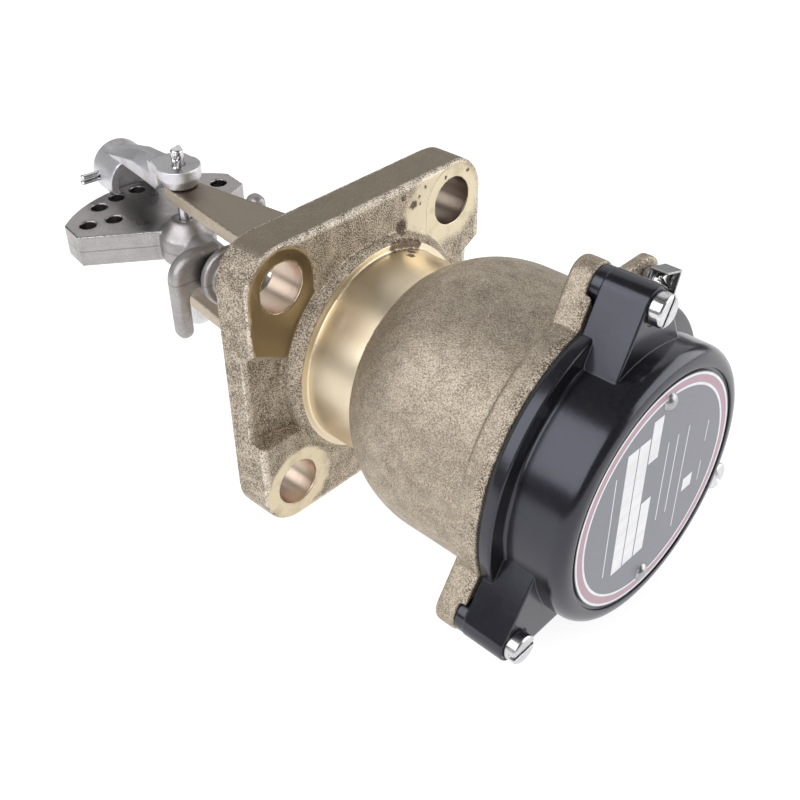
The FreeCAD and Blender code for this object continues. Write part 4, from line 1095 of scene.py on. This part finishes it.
class LEVELSWITCH_OT_magnet_arm(bpy.types.Operator):
    """Magnet arm with its sector plate and horns, and the magnet in its end"""

    bl_idname = "levelswitch.magnet_arm"
    bl_label = "Magnet arm"

    def execute(self, context):
        s = context.scene.levelswitch_steel
        satin = worked_steel("arm_steel", s.arm, s.tarnish_and_shade, grain=2300.0, depth=0.02 * MM, rough=0.24,
                             stretch=(260.0, 260.0, 3600.0), hub_matte=0.16, level_shade=0.35)
        mesh = softened("magnet_arm", "arm_casting", s.arm_grid, s.arm_rounding)
        place_piece("arm_casting", mesh, "arm", satin, "stainless", "magnet_arm")
        dark = context.scene.levelswitch_mechanism.magnet
        alloy = worked_steel("magnet_alloy", dark, s.tarnish_and_shade, grain=900.0, depth=0.05 * MM, rough=0.42)
        repaint(alloy, "magnet", "float_magnet")
        return {"FINISHED"}


class LEVELSWITCH_OT_float_lever(bpy.types.Operator):
    """Float lever with its rod socket"""

    bl_idname = "levelswitch.float_lever"
    bl_label = "Float lever"

    def execute(self, context):
        s = context.scene.levelswitch_steel
        satin = worked_steel("lever_steel", s.lever, s.tarnish_and_shade,
                             grain=2600.0, depth=0.04 * MM, rough=0.44, level_shade=0.5)
        mesh = softened("float_lever", "lever_casting", s.lever_grid, s.lever_rounding)
        low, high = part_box("rod_split_pin")
        bottom, mouth = PIVOT.x - s.hollow_start, PIVOT.x - s.hollow_end
        profile = ((bottom, 0), (bottom, s.hollow_radius), (mouth, s.hollow_radius), (mouth, 0))
        hollow = turned_mesh(profile, s.hollow_sides, PIVOT.y, (low.z + high.z) / 2)
        turn = Matrix.Rotation(s.lever_turn, 4, "Z")
        hollow.transform(Matrix.Translation(PIVOT) @ turn @ Matrix.Translation(-PIVOT))
        mesh = combined("lever_casting", mesh, ("DIFFERENCE", hollow))
        place_piece("lever_casting", mesh, "lever", satin, "stainless", "float_lever")
        return {"FINISHED"}


class LEVELSWITCH_OT_pins(bpy.types.Operator):
    """Pivot pin and the two split pins of bent wire"""

    bl_idname = "levelswitch.pins"
    bl_label = "Pins"

    def execute(self, context):
        s = context.scene.levelswitch_steel
        polished = worked_steel("pin_steel", s.plated, s.tarnish_and_shade,
                                grain=2400.0, depth=0.02 * MM, rough=0.15, stretch=(300.0, 300.0, 4200.0))
        mesh = softened("pivot_pin", "clevis_pin", s.pin_grid, s.turned_rounding)
        place_piece("clevis_pin", mesh, "housing", polished, "stainless", "pivot_pin")
        low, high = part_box("pivot_split_pin")
        upper = split_pin_mesh("pin_cotter", hole=1.0 * MM, grip=2.7 * MM, tail=3.4 * MM,
                               spread=0.75 * MM, eye=1.45 * MM)
        turned_about_z(upper, s.cotter_turn, Vector((PIVOT.x, PIVOT.y, (low.z + high.z) / 2)))
        place_piece("pin_cotter", upper, "housing", polished, "stainless", "pivot_split_pin")
        low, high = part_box("rod_split_pin")
        lower = split_pin_mesh("rod_cotter", hole=1.3 * MM, grip=9.9 * MM, tail=6.2 * MM,
                               spread=0.2 * MM, eye=1.9 * MM)
        place = PIVOT + Matrix.Rotation(s.lever_turn, 3, "Z") @ Vector((-s.rod_reach, 0.0, 0.0))
        turned_about_z(lower, math.pi + s.lever_turn, Vector((place.x, place.y, (low.z + high.z) / 2)))
        place_piece("rod_cotter", lower, "lever", polished, "stainless", "rod_split_pin")
        return {"FINISHED"}


class LEVELSWITCH_OT_switch_mechanism(bpy.types.Operator):
    """Finishes of the switch mechanism inside the bowl"""

    bl_idname = "levelswitch.switch_mechanism"
    bl_label = "Switch mechanism"

    def execute(self, context):
        s = context.scene.levelswitch_mechanism
        steel = context.scene.levelswitch_steel
        repaint(flecked_moulding(s), "moulding", "mechanism_base", "magnet_rocker", "terminal_block")
        brass = worked_steel("contact_brass", s.brass, s.brass_dark,
                             grain=1800.0, depth=0.02 * MM, rough=0.28, stretch=(300.0, 300.0, 4200.0))
        repaint(brass, "contact_brass", "moving_contacts", "fixed_contacts")
        repaint(bpy.data.materials["plated_steel"], "plated_steel", "mechanism_screws", "terminal_screws")
        repaint(bpy.data.materials["pin_steel"], "stainless", "rocker_pin")
        repaint(bpy.data.materials["magnet_alloy"], "magnet", "switch_magnet")
        return {"FINISHED"}


# Softboxes as (name, heading and rise in degrees, width and height in metres, brightness, tint)
SOFTBOXES = (
    ("key_softbox", -90.0, 40.0, 1.9, 0.9, 2.6, (0.97, 0.97, 1.0)),
    ("back_softbox", 128.0, 38.0, 1.7, 1.0, 0.75, (1.0, 1.0, 1.0)),
    ("front_softbox", 46.0, 18.0, 1.1, 0.65, 2.6, (1.0, 1.0, 1.0)))


class LEVELSWITCH_OT_stage(bpy.types.Operator):
    """Pale floor, soft studio light and the camera"""

    bl_idname = "levelswitch.stage"
    bl_label = "Stage"

    def execute(self, context):
        s = context.scene.levelswitch_stage
        self.floor(s)
        self.studio(s)
        for name, heading, rise, *shine in SOFTBOXES:
            self.softbox(name, math.radians(heading), math.radians(rise), *shine)
        self.camera(s)
        context.scene.view_settings.view_transform = "Standard"
        return {"FINISHED"}

    def floor(self, s):
        shape = bmesh.new()
        bmesh.ops.create_circle(shape, cap_ends=True, segments=128, radius=s.floor_radius)
        mesh = bpy.data.meshes.new("studio_floor")
        shape.to_mesh(mesh)
        shape.free()
        f = Finish("studio_floor", Metallic=0.0, Roughness=0.6, Emission_Strength=s.floor_glow)
        tone = f.mix(s.floor, toned(s.floor, 0.98), f.noise(f.place()[0], 30.0, 3.0))
        f.feed("Base Color", f.mix((0.0, 0.0, 0.0, 1.0), tone, s.floor_bounce))
        seen = f.add("ShaderNodeLightPath").outputs["Is Camera Ray"]
        f.feed("Emission Color", f.mix(toned(s.floor, s.floor_dim), tone, seen))
        mesh.materials.append(f.material)
        floor = bpy.data.objects.new("studio_floor", mesh)
        floor.location.z = CAD_BOX[0][2] - s.floor_drop
        bpy.context.scene.collection.objects.link(floor)

    def studio(self, s):
        """Dim walls for light and reflections, plain white behind the object."""
        world = bpy.data.worlds.new("studio")
        bpy.context.scene.world = world
        world.use_nodes = True
        w = Wiring(world.node_tree)
        w.tree.nodes.clear()
        seen = w.add("ShaderNodeLightPath").outputs["Is Camera Ray"]
        dim = (s.studio_dark, s.studio_dark, s.studio_dark, 1.0)
        light = w.add("ShaderNodeBackground", {"Color": w.mix(dim, (1.0, 1.0, 1.0, 1.0), seen)})
        w.add("ShaderNodeOutputWorld", {"Surface": light.outputs[0]})

    def softbox(self, name, heading, rise, width, height, level, tint):
        """Rectangular softbox a metre away, its brightness set as seen in a mirror."""
        lamp = bpy.data.lights.new(name, "AREA")
        lamp.shape = "RECTANGLE"
        lamp.size = width
        lamp.size_y = height
        lamp.energy = level * math.pi * width * height
        lamp.color = tint
        box = bpy.data.objects.new(name, lamp)
        level_part = math.cos(rise)
        place = Vector((math.cos(heading) * level_part, math.sin(heading) * level_part, math.sin(rise)))
        box.location = place
        box.rotation_euler = (-place).to_track_quat("-Z", "Y").to_euler()
        box.visible_camera = False
        bpy.context.scene.collection.objects.link(box)

    def camera(self, s):
        data = bpy.data.cameras.new("photo_camera")
        data.lens = s.lens
        data.sensor_width = 36.0
        data.shift_x, data.shift_y = s.shift
        data.clip_start = 0.01
        camera = bpy.data.objects.new("photo_camera", data)
        place = Vector(s.camera_place)
        aim = (Vector(s.camera_aim) - place).to_track_quat("-Z", "Y").to_matrix().to_4x4()
        camera.matrix_world = Matrix.Translation(place) @ aim @ Matrix.Rotation(s.camera_roll, 4, "Z")
        bpy.context.scene.collection.objects.link(camera)
        bpy.context.scene.camera = camera


SETTINGS = {"casting": CastingSettings, "cover": CoverSettings, "label": LabelSettings,
            "steel": SteelSettings, "mechanism": MechanismSettings, "stage": StageSettings}
PIECES = (LEVELSWITCH_OT_body_casting, LEVELSWITCH_OT_cover, LEVELSWITCH_OT_label,
          LEVELSWITCH_OT_cover_screws, LEVELSWITCH_OT_earth_terminal, LEVELSWITCH_OT_magnet_arm,
          LEVELSWITCH_OT_float_lever, LEVELSWITCH_OT_pins, LEVELSWITCH_OT_switch_mechanism,
          LEVELSWITCH_OT_stage)


class LEVELSWITCH_PT_pieces(bpy.types.Panel):
    """Lists the pieces and the settings"""

    bl_idname = "LEVELSWITCH_PT_pieces"
    bl_label = "Level switch"
    bl_space_type = "VIEW_3D"
    bl_region_type = "UI"
    bl_category = "Level Switch"

    def draw(self, context):
        for piece in PIECES:
            self.layout.operator(piece.bl_idname)
        for key, group in SETTINGS.items():
            box = self.layout.box()
            box.label(text=key.capitalize())
            for name in group.__annotations__:
                box.prop(getattr(context.scene, "levelswitch_" + key), name)


def register():
    for kind in (*SETTINGS.values(), *PIECES, LEVELSWITCH_PT_pieces):
        bpy.utils.register_class(kind)
    for key, group in SETTINGS.items():
        setattr(bpy.types.Scene, "levelswitch_" + key, PointerProperty(type=group))


def unregister():
    for key in SETTINGS:
        delattr(bpy.types.Scene, "levelswitch_" + key)
    for kind in reversed((*SETTINGS.values(), *PIECES, LEVELSWITCH_PT_pieces)):
        bpy.utils.unregister_class(kind)


def main():
    register()
    for piece in PIECES:
        group, name = piece.bl_idname.split(".")
        getattr(getattr(bpy.ops, group), name)()


if __name__ == "__main__":
    main()
